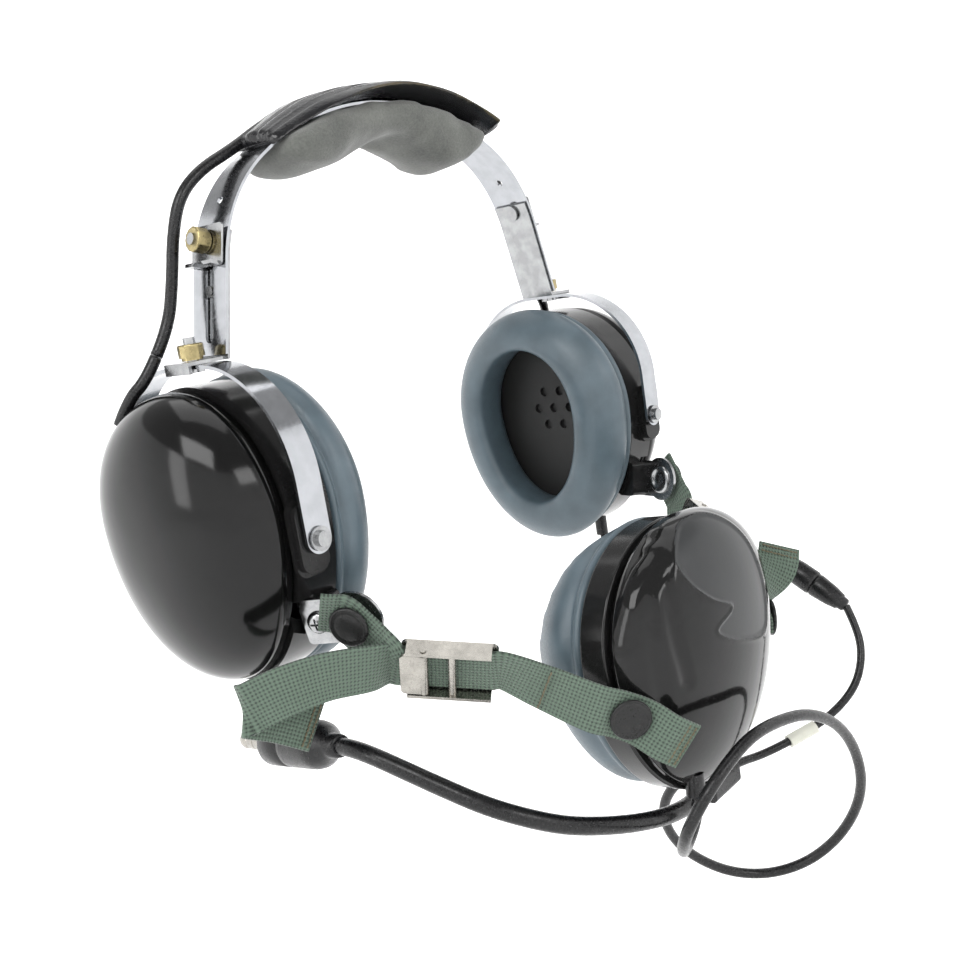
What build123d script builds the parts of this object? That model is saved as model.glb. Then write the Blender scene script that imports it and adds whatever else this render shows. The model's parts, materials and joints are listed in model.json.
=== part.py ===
"""Aviation headset: two ear domes on a spring headband, a mouth muff on webbing straps, and its cords.

Millimetres.  X runs to the wearer's left, -Y is the way the wearer faces and +Z is up.
The origin is midway between the four stirrup pivots.  The right side (-X) is modelled and
the left side is its mirror image, unless a block says otherwise.
"""

import os
from math import cos, radians, sin, tan

from build123d import *

os.makedirs("parts", exist_ok=True)

# ---- headband: two mirrored runs of straight end, tight arc and wide arc -------------------------
BAND_WIDTH = 18.7
BAND_THICK = 1.0
END_ANGLE = 13.5  # tilt of the straight end from vertical
KNEE_ANGLE = 57.0  # where the tight arc meets the wide one, from horizontal
SIDE_RADIUS = 54.9
SIDE_CENTRE = (-30.6, 78.4)
BAND_FOOT_Z = 59.9
SLOT_WIDTH = 4.6
SLOT_LOW_Z = 64.0
SLOT_HIGH_Z = 101.0
SLIDE_GAP = 0.4  # between the band and the strip that slides on it
RUNNING = 0.05  # radial clearance of a pin in its bore

# ---- adjuster, stirrup and thumb nuts -------------------------------------------------------------
STRIP_THICK = 1.0
STRIP_WIDTH = 17.0
SHELF_WIDTH = 14.0
SHELF_TOP_Z = 59.3
SHELF_THICK = 1.2
LIP_OUTER_X = -105.2
LIP_FOOT_Z = 55.4
STUD_RADIUS = 2.0
UPPER_STUD_Z = 97.2
GUIDE_PIN_Z = 80.9
EAR_X = 98.3  # plane of the stirrups and of the lower studs
PIVOT_Y = 48.8
STIRRUP_WIDTH = 9.8
STIRRUP_THICK = 1.2
STIRRUP_TOP_Z = 58.0
STIRRUP_RADIUS = 40.0
PIN_RADIUS = 1.5

# ---- ear domes -----------------------------------------------------------------------------------
EGG_CENTRE_Z = 6.2
EGG_HALF_WIDTH = 42.9
EGG_UP = 44.1
EGG_DOWN = 56.9
SEAL_INNER_X = 66.0
RIM_INNER_X = 88.0
RIM_OUTER_X = 104.0
DOME_DEPTH = 28.7
DOME_POWER = 2.4
DOME_LIFT = 3.6  # how far the dome's crown sits above its base centre
WALL = 2.5
RIM_PROUD = 1.0

# ---- mouth muff ----------------------------------------------------------------------------------
MUFF_ORIGIN = (0.0, -114.0, -60.0)
MUFF_LEAN = 5.9  # its front looks this far above level
MUFF_HALF_WIDTH = 45.0
MUFF_UP = 40.0
MUFF_DOWN = 53.8
MUFF_DEPTH = 24.0
MUFF_POWER = 2.1
MUFF_LIFT = 15.3
MUFF_RIM = 10.8
MUFF_SEAL_REACH = 41.0

# ---- straps, snaps and buckles -------------------------------------------------------------------
WEB_WIDTH = 16.0
WEB_THICK = 1.3
PLATE_SCREW = Vector(-97.0, -39.0, -29.0)
PLATE_NORMAL = Vector(-0.932, -0.331, -0.15).normalized()
PLATE_FORWARD = Vector(0.326, -0.944, 0.053).normalized()
SNAP_REACH = 14.0  # from the plate's screw to its snap
CAP_RADIUS = 6.7
STRAP_OFF_PLATE = 3.65  # middle of the webbing above the plate
MUFF_SNAP = Vector(-44.5, -117.5, -70.0)
MUFF_SNAP_NORMAL = Vector(-0.65, -0.75, -0.1).normalized()
STRAP_OFF_MUFF = 3.6
STRAP_START = Vector(-98.0, -54.2, -29.2)  # corner of the frame that the strap's side view is drawn in
STRAP_ALONG = Vector(0.541, -0.715, -0.443).normalized()
STRAP_UP = Vector(0.267, -0.353, 0.897).normalized()
STRAP_OUT = Vector(-0.798, -0.603, 0.0).normalized()
BUCKLE_NORMAL = Vector(-0.836, -0.397, -0.379).normalized()  # the buckle hangs with its face turned down a little
TAIL_FOLD = Vector(-129.0, -38.0, -47.0)
TAIL_HEM = Vector(-109.0, -42.0, -60.0)
BUCKLE_LENGTH = 31.0
BUCKLE_INNER = 17.4
BUCKLE_SHEET = 1.2

# ---- cords ---------------------------------------------------------------------------------------
OVERHEAD_RADIUS = 2.1
MAIN_RADIUS = 3.0
MIC_RADIUS = 2.0
LEAD_RADIUS = 1.6
PLUG_BACK = Vector(-95.0, -29.5, -75.5)
PLUG_AXIS = Vector(0.12, 0.97, -0.2).normalized()
PLUG_BODY_LENGTH = 40.0
PLUG_BODY_RADIUS = 8.6
BARREL_LENGTH = 27.0
BARREL_RADIUS = 3.56
CONNECTOR_BACK = Vector(99.5, -103.0, -66.0)
CONNECTOR_FRONT = Vector(99.0, -129.0, -83.0)

OVERHEAD_ROUTE = [
    (0, 8, 145.9),
    (-10, 8, 145.9),
    (-26, 8, 143.3),
    (-43, 8, 137.6),
    (-59, 8.5, 129),
    (-74, 9, 122.5),
    (-84, 10, 114),
    (-89, 11, 101),
    (-92.5, 11.5, 86),
    (-97.5, 11.5, 71.5),
    (-104, 12.2, 62.6),
]
LOWER_ROUTE = [
    (-104.3, 12.23, 62.2),
    (-109.4, 12.8, 55.2),
    (-115, 16.5, 50),
    (-117.8, 20.8, 42),
]
MAIN_ROUTE = [
    (-95, -29.5, -75.5),
    (-96, -38, -73.7),
    (-95.5, -49, -74.5),
    (-92.5, -61, -79),
    (-88, -74, -85),
    (-83, -87, -91),
    (-75, -97, -97),
    (-65, -104, -103),
    (-51, -109, -109),
    (-36, -112.5, -114.5),
    (-20, -113.5, -119.5),
    (-5, -112, -123),
    (5, -110.5, -123.5),
]
MIC_ROUTE = [
    (-17, -122, -111.5),
    (-17, -121.5, -117.5),
    (-20, -121, -123),
    (-26.5, -122, -125.5),
    (-34.5, -125.5, -123),
    (-42, -130.5, -116.5),
    (-47, -135.5, -108.5),
    (-47.5, -139.5, -101),
    (-43.5, -142.5, -94.5),
    (-35, -145, -88.5),
    (-21, -146.5, -84.5),
    (-4, -147.5, -86),
    (15.5, -149, -91),
    (35, -149.5, -102.5),
    (51, -148.5, -119),
    (61.5, -146, -138.5),
    (67.5, -139.5, -156.5),
    (68, -129.5, -172.5),
    (63.5, -117.5, -183.5),
    (56, -104.5, -188),
    (45.5, -94, -184.5),
    (35.5, -86.5, -176),
    (26, -82, -164.5),
    (19, -81.5, -151.5),
    (15, -85, -139.5),
    (14, -92, -129.5),
    (14, -99, -125),
    (14, -105, -123.5),
]
LEAD_ROUTE = [
    (99, -129, -83),
    (96, -134.5, -92),
    (90.5, -137.5, -101),
    (84, -137, -110),
    (76, -133, -117),
    (66, -127, -122),
    (54, -120, -125),
    (42, -114.5, -126),
    (32, -111.5, -124.5),
    (23, -110.5, -123.5),
]
EAR_LEAD_ROUTE = [
    (98, -12, -57),
    (98, -13, -64),
    (98, -20, -72),
    (98.5, -32, -77),
    (99, -48, -78.5),
    (99.3, -64, -76),
    (99.5, -79, -71.5),
    (99.5, -92, -67),
    (99.5, -102.4, -65.6),
]


# ---- helpers --------------------------------------------------------------------------------------
def band_x(z):
    """X of the outer face of the band's straight end, at height z."""
    a = radians(END_ANGLE)
    start_x = SIDE_CENTRE[0] - SIDE_RADIUS * cos(a)
    start_z = SIDE_CENTRE[1] + SIDE_RADIUS * sin(a)
    return start_x + (z - start_z) * tan(a)


def side_point(angle, off):
    """Point of the tight arc at an angle above horizontal, off millimetres outside the outer face."""
    a = radians(angle)
    r = SIDE_RADIUS + off
    return (SIDE_CENTRE[0] - r * cos(a), SIDE_CENTRE[1] + r * sin(a))


def end_point(z, off):
    """Point of the straight end at height z, off millimetres outside the outer face."""
    a = radians(END_ANGLE)
    return (band_x(z) - off / cos(a), z)


def top_radius():
    knee_x = side_point(KNEE_ANGLE, 0)[0]
    return -knee_x / cos(radians(KNEE_ANGLE))


def crown_point(angle, off):
    """Point of the wide arc at an angle above horizontal."""
    knee = side_point(KNEE_ANGLE, 0)
    r = top_radius()
    centre_z = knee[1] - r * sin(radians(KNEE_ANGLE))
    a = radians(angle)
    return (-(r + off) * cos(a), centre_z + (r + off) * sin(a))


def arch_edge(off, tip):
    """The upper edge of a piece that follows the band from one tip angle over the crown to the other."""
    left = crown_point(tip, off)
    right = (-left[0], left[1])
    return ThreePointArc(left, crown_point(90, off), right)


def egg(half_width, up, down):
    """A face with an elliptical top half and a longer elliptical lower half."""
    with BuildSketch() as outline:
        with BuildLine():
            EllipticalCenterArc((0, 0), half_width, up, start_angle=0, arc_size=180)
            EllipticalCenterArc((0, 0), half_width, down, start_angle=180, arc_size=180)
        make_face()
    return outline.sketch


def ear_plane(x, lift=0.0):
    """Plane across the right ear's axis, local X forward and local Y up, facing outward."""
    return Plane(origin=(-x, 0, EGG_CENTRE_Z + lift), x_dir=(0, -1, 0), z_dir=(-1, 0, 0))


def crown_scale(share, power):
    """How far a rounded shell has closed in at a share of its depth."""
    return (1 - share**power) ** (1 / power)


def mirrored(part):
    return part.mirror(Plane.YZ)


def save(part, name):
    part.label = name
    export_step(part, f"parts/{name}.step")


def save_pair(part, name):
    """Writes the right-hand piece and its mirror image."""
    save(part, f"right_{name}")
    save(mirrored(part), f"left_{name}")


def tube(route, radius, name):
    """A cord: straight runs joined by arcs as large as the runs allow."""
    points = [Vector(*p) for p in route]
    radii = []
    for before, here, after in zip(points, points[1:], points[2:]):
        shorter = min((here - before).length, (after - here).length)
        turn = (here - before).get_angle(after - here)
        radii.append(0.45 * shorter / tan(radians(turn / 2)))
    with BuildPart() as cord:
        with BuildLine():
            path = FilletPolyline(*points, radius=radii)
        with BuildSketch(Plane(origin=points[0], z_dir=points[1] - points[0])):
            Circle(radius)
        sweep(path=path)
    length = path.length
    ratio = cord.part.volume / (length * 3.14159265 * radius**2)
    print(f"{name}: length {length:.0f}, volume ratio {ratio:.4f}, smallest radius {min(radii):.1f}")
    print("   radii", " ".join(f"{r:.0f}" for r in radii))
    return cord.part


def rod(start, axis, radius, length, bore=0.0):
    """A round bar or tube from a point along an axis."""
    with BuildPart() as bar:
        with BuildSketch(Plane(origin=start, z_dir=axis)):
            Circle(radius)
            if bore:
                Circle(bore, mode=Mode.SUBTRACT)
        extrude(amount=length)
    return bar.part


def in_plane(direction, normal):
    """The part of a direction that lies across a normal, as a unit vector."""
    return (direction - normal * direction.dot(normal)).normalized()


def ribbon(start, end, facing, width=WEB_WIDTH, thick=WEB_THICK):
    """A flat length of webbing between two points, its face turned as nearly as it can be to facing."""
    along = (end - start).normalized()
    normal = in_plane(facing, along)
    with BuildPart() as web:
        with BuildSketch(Plane(origin=(start + end) * 0.5, x_dir=along, z_dir=normal)):
            Rectangle((end - start).length + 1.0, width)
        extrude(amount=thick / 2, both=True)
    return web.part


# ---- headband -------------------------------------------------------------------------------------
def band_side(off):
    """Lower right end of a band face: foot, end of the straight run, middle and end of the tight arc."""
    mid = (END_ANGLE + KNEE_ANGLE) / 2
    foot = end_point(BAND_FOOT_Z, off)
    return foot, side_point(END_ANGLE, off), side_point(mid, off), side_point(KNEE_ANGLE, off)


def flip(point):
    return (-point[0], point[1])


with BuildPart() as headband_spring:
    with BuildSketch(Plane.XZ):
        with BuildLine():
            out_foot, out_start, out_mid, out_knee = band_side(0)
            in_foot, in_start, in_mid, in_knee = band_side(-BAND_THICK)
            Line(out_foot, out_start)
            ThreePointArc(out_start, out_mid, out_knee)
            ThreePointArc(out_knee, crown_point(90, 0), flip(out_knee))
            ThreePointArc(flip(out_knee), flip(out_mid), flip(out_start))
            Line(flip(out_start), flip(out_foot))
            Line(flip(out_foot), flip(in_foot))
            Line(flip(in_foot), flip(in_start))
            ThreePointArc(flip(in_start), flip(in_mid), flip(in_knee))
            ThreePointArc(flip(in_knee), crown_point(90, -BAND_THICK), in_knee)
            ThreePointArc(in_knee, in_mid, in_start)
            Line(in_start, in_foot)
            Line(in_foot, out_foot)
        make_face()
    extrude(amount=BAND_WIDTH / 2, both=True)
    slot_length = (SLOT_HIGH_Z - SLOT_LOW_Z) / cos(radians(END_ANGLE))
    slot_mid_z = (SLOT_HIGH_Z + SLOT_LOW_Z) / 2
    for side in (-1, 1):
        outward = (side * cos(radians(END_ANGLE)), 0, sin(radians(END_ANGLE)))
        slot_x = -side * end_point(slot_mid_z, 0)[0]
        with BuildSketch(Plane(origin=(slot_x, 0, slot_mid_z), x_dir=(0, 1, 0), z_dir=outward)):
            SlotOverall(slot_length, SLOT_WIDTH, rotation=90)
        extrude(amount=4, both=True, mode=Mode.SUBTRACT)
        hole_x, hole_z = side_point(36, 0)
        hole_out = (side * cos(radians(36)), 0, sin(radians(36)))
        with BuildSketch(Plane(origin=(-side * hole_x, 0, hole_z), z_dir=hole_out)):
            Circle(1.5)
        extrude(amount=3, both=True, mode=Mode.SUBTRACT)
save(headband_spring.part, "headband_spring")

overhead_upper = tube(OVERHEAD_ROUTE, OVERHEAD_RADIUS, "overhead cable, upper")
save_pair(overhead_upper, "overhead_cable_upper")
overhead_channel = tube(OVERHEAD_ROUTE, OVERHEAD_RADIUS + 0.1, "its channel")

COVER_TIP = 60.0
COVER_THICK = 6.6
COVER_HALF_WIDTH = 21.0
COVER_END_HALF_WIDTH = 12.5
with BuildPart() as headband_cover:
    with BuildSketch(Plane.XZ):
        with BuildLine():
            top = arch_edge(COVER_THICK, COVER_TIP)
            under = arch_edge(0.0, COVER_TIP)
            Line(top @ 0, under @ 0)
            Line(top @ 1, under @ 1)
        make_face()
    extrude(amount=COVER_HALF_WIDTH, both=True)
    # plan outline: narrow ends, widest at the shoulders
    end_x = crown_point(COVER_TIP, COVER_THICK)[0] - 1
    shoulder_x = crown_point(68, COVER_THICK)[0]
    with BuildSketch(Plane.XY.offset(100)):
        with BuildLine():
            Polyline(
                (end_x, -COVER_END_HALF_WIDTH),
                (shoulder_x, -COVER_HALF_WIDTH),
                (-shoulder_x, -COVER_HALF_WIDTH),
                (-end_x, -COVER_END_HALF_WIDTH),
                (-end_x, COVER_END_HALF_WIDTH),
                (-shoulder_x, COVER_HALF_WIDTH),
                (shoulder_x, COVER_HALF_WIDTH),
                (end_x, COVER_END_HALF_WIDTH),
                close=True,
            )
        make_face()
    extrude(amount=80, mode=Mode.INTERSECT)
    # channel for the cable that runs across the head
    add(overhead_channel, mode=Mode.SUBTRACT)
    add(mirrored(overhead_channel), mode=Mode.SUBTRACT)
save(headband_cover.part, "headband_cover")

PAD_HALF_WIDTH = 19.0
PAD_TIP = 61.0
with BuildPart() as headband_pad:
    with BuildSketch(Plane.XZ):
        with BuildLine():
            roof = arch_edge(-BAND_THICK - 0.1, PAD_TIP)
            # two lobes, one each side of the crown
            Spline(roof @ 0, (-49, 120), (-37, 117.5), (-18, 125.5), (0, 129.5), (18, 125.5),
                   (37, 117.5), (49, 120), roof @ 1)
        make_face()
    extrude(amount=PAD_HALF_WIDTH, both=True)
save(headband_pad.part, "headband_pad")


# ---- adjusters ------------------------------------------------------------------------------------
outward = Vector(-cos(radians(END_ANGLE)), 0, sin(radians(END_ANGLE)))
up_strip = Vector(sin(radians(END_ANGLE)), 0, cos(radians(END_ANGLE)))
upper_stud_at = Vector(band_x(UPPER_STUD_Z), 0, UPPER_STUD_Z)
guide_pin_at = Vector(band_x(GUIDE_PIN_Z), 0, GUIDE_PIN_Z)
stud_plane = Plane(origin=upper_stud_at, x_dir=(0, 1, 0), z_dir=outward)

STRIP_TOP_ANGLE = 24.0
outer_off = -BAND_THICK - SLIDE_GAP
inner_off = outer_off - STRIP_THICK
shelf_foot_z = SHELF_TOP_Z - SHELF_THICK
with BuildPart() as adjuster_strip:
    with BuildSketch(Plane.XZ):
        with BuildLine():
            strip_mid = (END_ANGLE + STRIP_TOP_ANGLE) / 2
            corner_out = end_point(SHELF_TOP_Z, outer_off)
            corner_in = end_point(shelf_foot_z, inner_off)
            ThreePointArc(
                side_point(STRIP_TOP_ANGLE, outer_off),
                side_point(strip_mid, outer_off),
                side_point(END_ANGLE, outer_off),
            )
            Polyline(
                side_point(END_ANGLE, outer_off),
                corner_out,
                (LIP_OUTER_X, SHELF_TOP_Z),
                (LIP_OUTER_X, LIP_FOOT_Z),
                (LIP_OUTER_X + SHELF_THICK, LIP_FOOT_Z),
                (LIP_OUTER_X + SHELF_THICK, shelf_foot_z),
                corner_in,
                side_point(END_ANGLE, inner_off),
            )
            ThreePointArc(
                side_point(END_ANGLE, inner_off),
                side_point(strip_mid, inner_off),
                side_point(STRIP_TOP_ANGLE, inner_off),
            )
            Line(side_point(STRIP_TOP_ANGLE, inner_off), side_point(STRIP_TOP_ANGLE, outer_off))
        make_face()
    extrude(amount=STRIP_WIDTH / 2, both=True)
    # the shelf is narrower than the strip
    with BuildSketch(Plane.XY.offset(LIP_FOOT_Z - 1)):
        for side in (-1, 1):
            with Locations((LIP_OUTER_X + 5, side * (SHELF_WIDTH / 2 + 5))):
                Rectangle(20, 10)
    extrude(amount=SHELF_TOP_Z - LIP_FOOT_Z + 1.05, mode=Mode.SUBTRACT)
    with BuildSketch(Plane.XY.offset(shelf_foot_z - 1)):
        with Locations((-EAR_X, 0)):
            Circle(STUD_RADIUS)
    extrude(amount=4, mode=Mode.SUBTRACT)
    with BuildSketch(stud_plane.offset(-6)):
        Circle(STUD_RADIUS)
    extrude(amount=6, mode=Mode.SUBTRACT)
    fillet(adjuster_strip.edges().filter_by(Axis.X).group_by(Axis.Z)[0], 0.4)
save_pair(adjuster_strip.part, "adjuster_strip")

CLIP_OFF = 0.4
CLIP_THICK = 0.8
with BuildPart() as guide_clip:
    with BuildSketch(stud_plane.offset(CLIP_OFF)):
        with Locations((0, 1.5)):
            RectangleRounded(17, 14, 1.2)
        Circle(STUD_RADIUS, mode=Mode.SUBTRACT)
    extrude(amount=CLIP_THICK)
    # flange turned outward along the lower edge, with a notch in its middle
    with BuildSketch(stud_plane.offset(CLIP_OFF)):
        with Locations((0, 7.9)):
            Rectangle(15, 1.2)
    extrude(amount=4.2)
    with BuildSketch(stud_plane.offset(CLIP_OFF + CLIP_THICK)):
        with BuildLine():
            Polyline((-4, 9), (0, 6), (4, 9), close=True)
        make_face()
    extrude(amount=4, mode=Mode.SUBTRACT)
save_pair(guide_clip.part, "guide_clip")

strip_inner = -(BAND_THICK + SLIDE_GAP + STRIP_THICK)
NUT_BASE_OFF = 1.5
STUD_TOP_OFF = 7.6
RIVET_THICK = 0.9
HEAD_OFF = -3.3  # the strip already curves inward here, so the head sits under its lowest part
stirrup_under_z = STIRRUP_TOP_Z - STIRRUP_THICK
strip_face = strip_inner + STRIP_THICK  # outer face of the strip
stud_bars = [
    # upper stud: rivet head inside the strip, shank through the band's slot
    (upper_stud_at + outward * (HEAD_OFF - RIVET_THICK), outward, 3.6, RIVET_THICK),
    (upper_stud_at + outward * HEAD_OFF, outward, STUD_RADIUS, STUD_TOP_OFF - HEAD_OFF),
    # guide pin further down the slot
    (guide_pin_at + outward * strip_face, outward, 1.9, BAND_THICK + SLIDE_GAP + 0.3),
    # lower stud: head under the stirrup, shank up through the shelf
    (Vector(-EAR_X, 0, stirrup_under_z - 1.4), Vector(0, 0, 1), 3.4, 1.4),
    (Vector(-EAR_X, 0, stirrup_under_z), Vector(0, 0, 1), STUD_RADIUS, 10.4),
]
with BuildPart() as adjuster_studs:
    for start, axis, radius, length in stud_bars:
        with BuildSketch(Plane(origin=start, z_dir=axis)):
            Circle(radius)
        extrude(amount=length)
save_pair(adjuster_studs.part, "adjuster_studs")


def thumb_nut(plane, height):
    """Knurled thumb nut with a smaller collar under it."""
    with BuildPart() as nut:
        with BuildSketch(plane):
            Circle(3.6)
        extrude(amount=1.0)
        with BuildSketch(plane.offset(1.0)):
            RegularPolygon(4.35, 12)
        extrude(amount=height - 1.0)
        fillet(nut.faces().sort_by(Axis(plane.origin, plane.z_dir))[-1].edges(), 0.7)
        with BuildSketch(plane):
            Circle(STUD_RADIUS + RUNNING)
        extrude(amount=height, mode=Mode.SUBTRACT)
    return nut.part


save_pair(thumb_nut(stud_plane.offset(NUT_BASE_OFF), 5.4), "upper_nut")
LOWER_NUT_GAP = 0.3
lower_nut_plane = Plane.XY.offset(SHELF_TOP_Z + LOWER_NUT_GAP).move(Location((-EAR_X, 0, 0)))
save_pair(thumb_nut(lower_nut_plane, 5.4), "lower_nut")

STIRRUP_FOOT_Z = -4.9
with BuildPart() as stirrup:
    side_plane = Plane.YZ.offset(-EAR_X)
    with BuildSketch(side_plane):
        RectangleRounded(2 * PIVOT_Y, 2 * STIRRUP_TOP_Z, STIRRUP_RADIUS)
        RectangleRounded(
            2 * (PIVOT_Y - STIRRUP_THICK),
            2 * (STIRRUP_TOP_Z - STIRRUP_THICK),
            STIRRUP_RADIUS - STIRRUP_THICK,
            mode=Mode.SUBTRACT,
        )
        with Locations((0, STIRRUP_FOOT_Z - 40)):
            Rectangle(120, 80, mode=Mode.SUBTRACT)
    extrude(amount=STIRRUP_WIDTH / 2, both=True)
    fillet(stirrup.edges().filter_by(Axis.Y).group_by(Axis.Z)[0], STIRRUP_WIDTH / 2 - 0.1)
    with BuildSketch(Plane.XZ):
        with Locations((-EAR_X, 0)):
            Circle(PIN_RADIUS + RUNNING)
    extrude(amount=60, both=True, mode=Mode.SUBTRACT)
    with BuildSketch(Plane.XY.offset(STIRRUP_TOP_Z - 3)):
        with Locations((-EAR_X, 0)):
            Circle(STUD_RADIUS)
    extrude(amount=5, mode=Mode.SUBTRACT)
save_pair(stirrup.part, "stirrup")


# ---- ear assemblies -------------------------------------------------------------------------------
NECK_DEPTH = 1.2
DOME_SHARES = (NECK_DEPTH / DOME_DEPTH, 0.3, 0.55, 0.75, 0.89, 0.97, 0.995)
LUG_FACE_Y = 46.9
with BuildPart() as dome:
    # neck that leaves a groove between the bulb and the rim
    with BuildSketch(ear_plane(RIM_OUTER_X)):
        add(egg(EGG_HALF_WIDTH - 1.3, EGG_UP - 1.3, EGG_DOWN - 1.3))
    extrude(amount=NECK_DEPTH)
    for share in DOME_SHARES:
        k = crown_scale(share, DOME_POWER)
        with BuildSketch(ear_plane(RIM_OUTER_X + DOME_DEPTH * share, DOME_LIFT * share)):
            add(egg(EGG_HALF_WIDTH * k, EGG_UP * k, EGG_DOWN * k))
    loft()
    with BuildSketch(ear_plane(RIM_OUTER_X)):
        add(egg(EGG_HALF_WIDTH - 1.3 - WALL, EGG_UP - 1.3 - WALL, EGG_DOWN - 1.3 - WALL))
    extrude(amount=NECK_DEPTH + 0.01, mode=Mode.SUBTRACT)
    for share in DOME_SHARES[:-1]:
        k = crown_scale(share, DOME_POWER)
        with BuildSketch(ear_plane(RIM_OUTER_X + (DOME_DEPTH - WALL) * share, DOME_LIFT * share)):
            add(egg(EGG_HALF_WIDTH * k - WALL, EGG_UP * k - WALL, EGG_DOWN * k - WALL))
    loft(mode=Mode.SUBTRACT)
save_pair(dome.part, "dome")

plate_plane = Plane(origin=PLATE_SCREW, x_dir=PLATE_FORWARD, z_dir=PLATE_NORMAL)
PLATE_THICK = 1.2
with BuildPart() as rim:
    with BuildSketch(ear_plane(RIM_INNER_X)):
        add(egg(EGG_HALF_WIDTH + RIM_PROUD, EGG_UP + RIM_PROUD, EGG_DOWN + RIM_PROUD))
    extrude(amount=RIM_OUTER_X - RIM_INNER_X)
    # stepped pivot lugs, front and rear, wider outside the bulb
    with BuildSketch(Plane.XZ.offset(38)):
        with Locations((-98.5, 0.5)):
            RectangleRounded(10.9, 24, 3)
    extrude(amount=5.2)
    for near, far, wide, tall in ((43.2, 44.9, 13.0, 25.0), (44.9, LUG_FACE_Y, 11.0, 22.5)):
        with BuildSketch(Plane.XZ.offset(near)):
            with Locations((-99.5, 0.5)):
                RectangleRounded(wide, tall, 4)
        extrude(amount=far - near)
    mirror(about=Plane.XZ)
    # boss that carries the strap plate
    with BuildSketch(plate_plane.offset(-PLATE_THICK / 2)):
        with Locations((-0.5, 0)):
            RectangleRounded(11, 15, 2)
    extrude(amount=-8)
    with BuildSketch(ear_plane(RIM_INNER_X)):
        add(egg(EGG_HALF_WIDTH - 2, EGG_UP - 2, EGG_DOWN - 2))
    extrude(amount=RIM_OUTER_X - RIM_INNER_X, mode=Mode.SUBTRACT)
    # flat seat for the strap plate
    with BuildSketch(plate_plane.offset(-PLATE_THICK / 2)):
        with Locations((0, 0)):
            Rectangle(15, 19)
    extrude(amount=12, mode=Mode.SUBTRACT)
    # the boss is trimmed back to the outer face of the rim
    with BuildSketch(ear_plane(RIM_OUTER_X)):
        Rectangle(85, 130)
    extrude(amount=30, mode=Mode.SUBTRACT)
save_pair(rim.part, "rim")

with BuildPart() as ear_seal:
    for x, half_width, up, down in ((88, 43.5, 44.6, 57), (77, 45, 46.5, 58.5), (66, 38, 40, 52)):
        with BuildSketch(ear_plane(x)):
            add(egg(half_width, up, down))
    loft()
    with BuildSketch(ear_plane(SEAL_INNER_X - 1)):
        add(egg(26, 30, 40))
    extrude(amount=24, mode=Mode.SUBTRACT)
save_pair(ear_seal.part, "ear_seal")

with BuildPart() as baffle_plate:
    with BuildSketch(ear_plane(90)):
        add(egg(40.7, 41.9, 54.7))
        with PolarLocations(9, 6):
            Circle(2.2, mode=Mode.SUBTRACT)
        Circle(2.2, mode=Mode.SUBTRACT)
    extrude(amount=2)
save_pair(baffle_plate.part, "baffle_plate")

with BuildPart() as earphone:
    with BuildSketch(ear_plane(92)):
        Circle(19)
    extrude(amount=10)
    with BuildSketch(ear_plane(102)):
        Circle(14)
    extrude(amount=6)
    fillet(earphone.edges().filter_by(GeomType.CIRCLE).sort_by(Axis.X)[0], 1.5)
save_pair(earphone.part, "earphone")

PIN_STEPS = (
    (LUG_FACE_Y, 49.1, PIN_RADIUS),
    (49.1, 49.8, 4.0),
    (49.8, 51.4, 2.6),
)
with BuildPart() as pivot_pins:
    for near, far, radius in PIN_STEPS:
        with BuildSketch(Plane.XZ.offset(near)):
            with Locations((-EAR_X, 0)):
                Circle(radius)
        extrude(amount=far - near)
    mirror(about=Plane.XZ)
save_pair(pivot_pins.part, "pivot_pins")

with BuildPart() as strap_plate:
    with BuildSketch(plate_plane.offset(-PLATE_THICK / 2)):
        with Locations((SNAP_REACH, 0)):
            Circle(9.5)
        with Locations((SNAP_REACH / 2 - 3, 0)):
            RectangleRounded(SNAP_REACH + 6, 16, 1.5)
        Circle(2.0, mode=Mode.SUBTRACT)
    extrude(amount=PLATE_THICK)
save_pair(strap_plate.part, "strap_plate")

snap_at = PLATE_SCREW + PLATE_FORWARD * SNAP_REACH
CAP_UNDER = 4.7
with BuildPart() as ear_snap:
    # screw: shank in the plate's hole and the boss behind it, and a rounded head
    with BuildSketch(plate_plane.offset(-6.0)):
        Circle(1.9)
    extrude(amount=6.0 + PLATE_THICK / 2)
    with BuildSketch(plate_plane.offset(PLATE_THICK / 2)):
        Circle(3.8)
    extrude(amount=2.2)
    fillet(ear_snap.faces().sort_by(Axis(PLATE_SCREW, PLATE_NORMAL))[-1].edges(), 1.4)
    # snap: hexagonal base, post and cap
    with BuildSketch(plate_plane.offset(PLATE_THICK / 2)):
        with Locations((SNAP_REACH, 0)):
            RegularPolygon(5.4, 6)
    extrude(amount=1.8)
    with BuildSketch(plate_plane.offset(PLATE_THICK / 2 + 1.8)):
        with Locations((SNAP_REACH, 0)):
            Circle(2.2)
    extrude(amount=CAP_UNDER - PLATE_THICK / 2 - 1.8)
    with BuildSketch(plate_plane.offset(CAP_UNDER)):
        with Locations((SNAP_REACH, 0)):
            Circle(CAP_RADIUS)
    extrude(amount=2.0)
save_pair(ear_snap.part, "ear_snap")


# ---- straps and buckles ---------------------------------------------------------------------------
def strap_point(along, up):
    """Point of the strap's side view, on the middle of the webbing."""
    return STRAP_START + STRAP_ALONG * along + STRAP_UP * up - STRAP_OUT * 2.1


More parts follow.
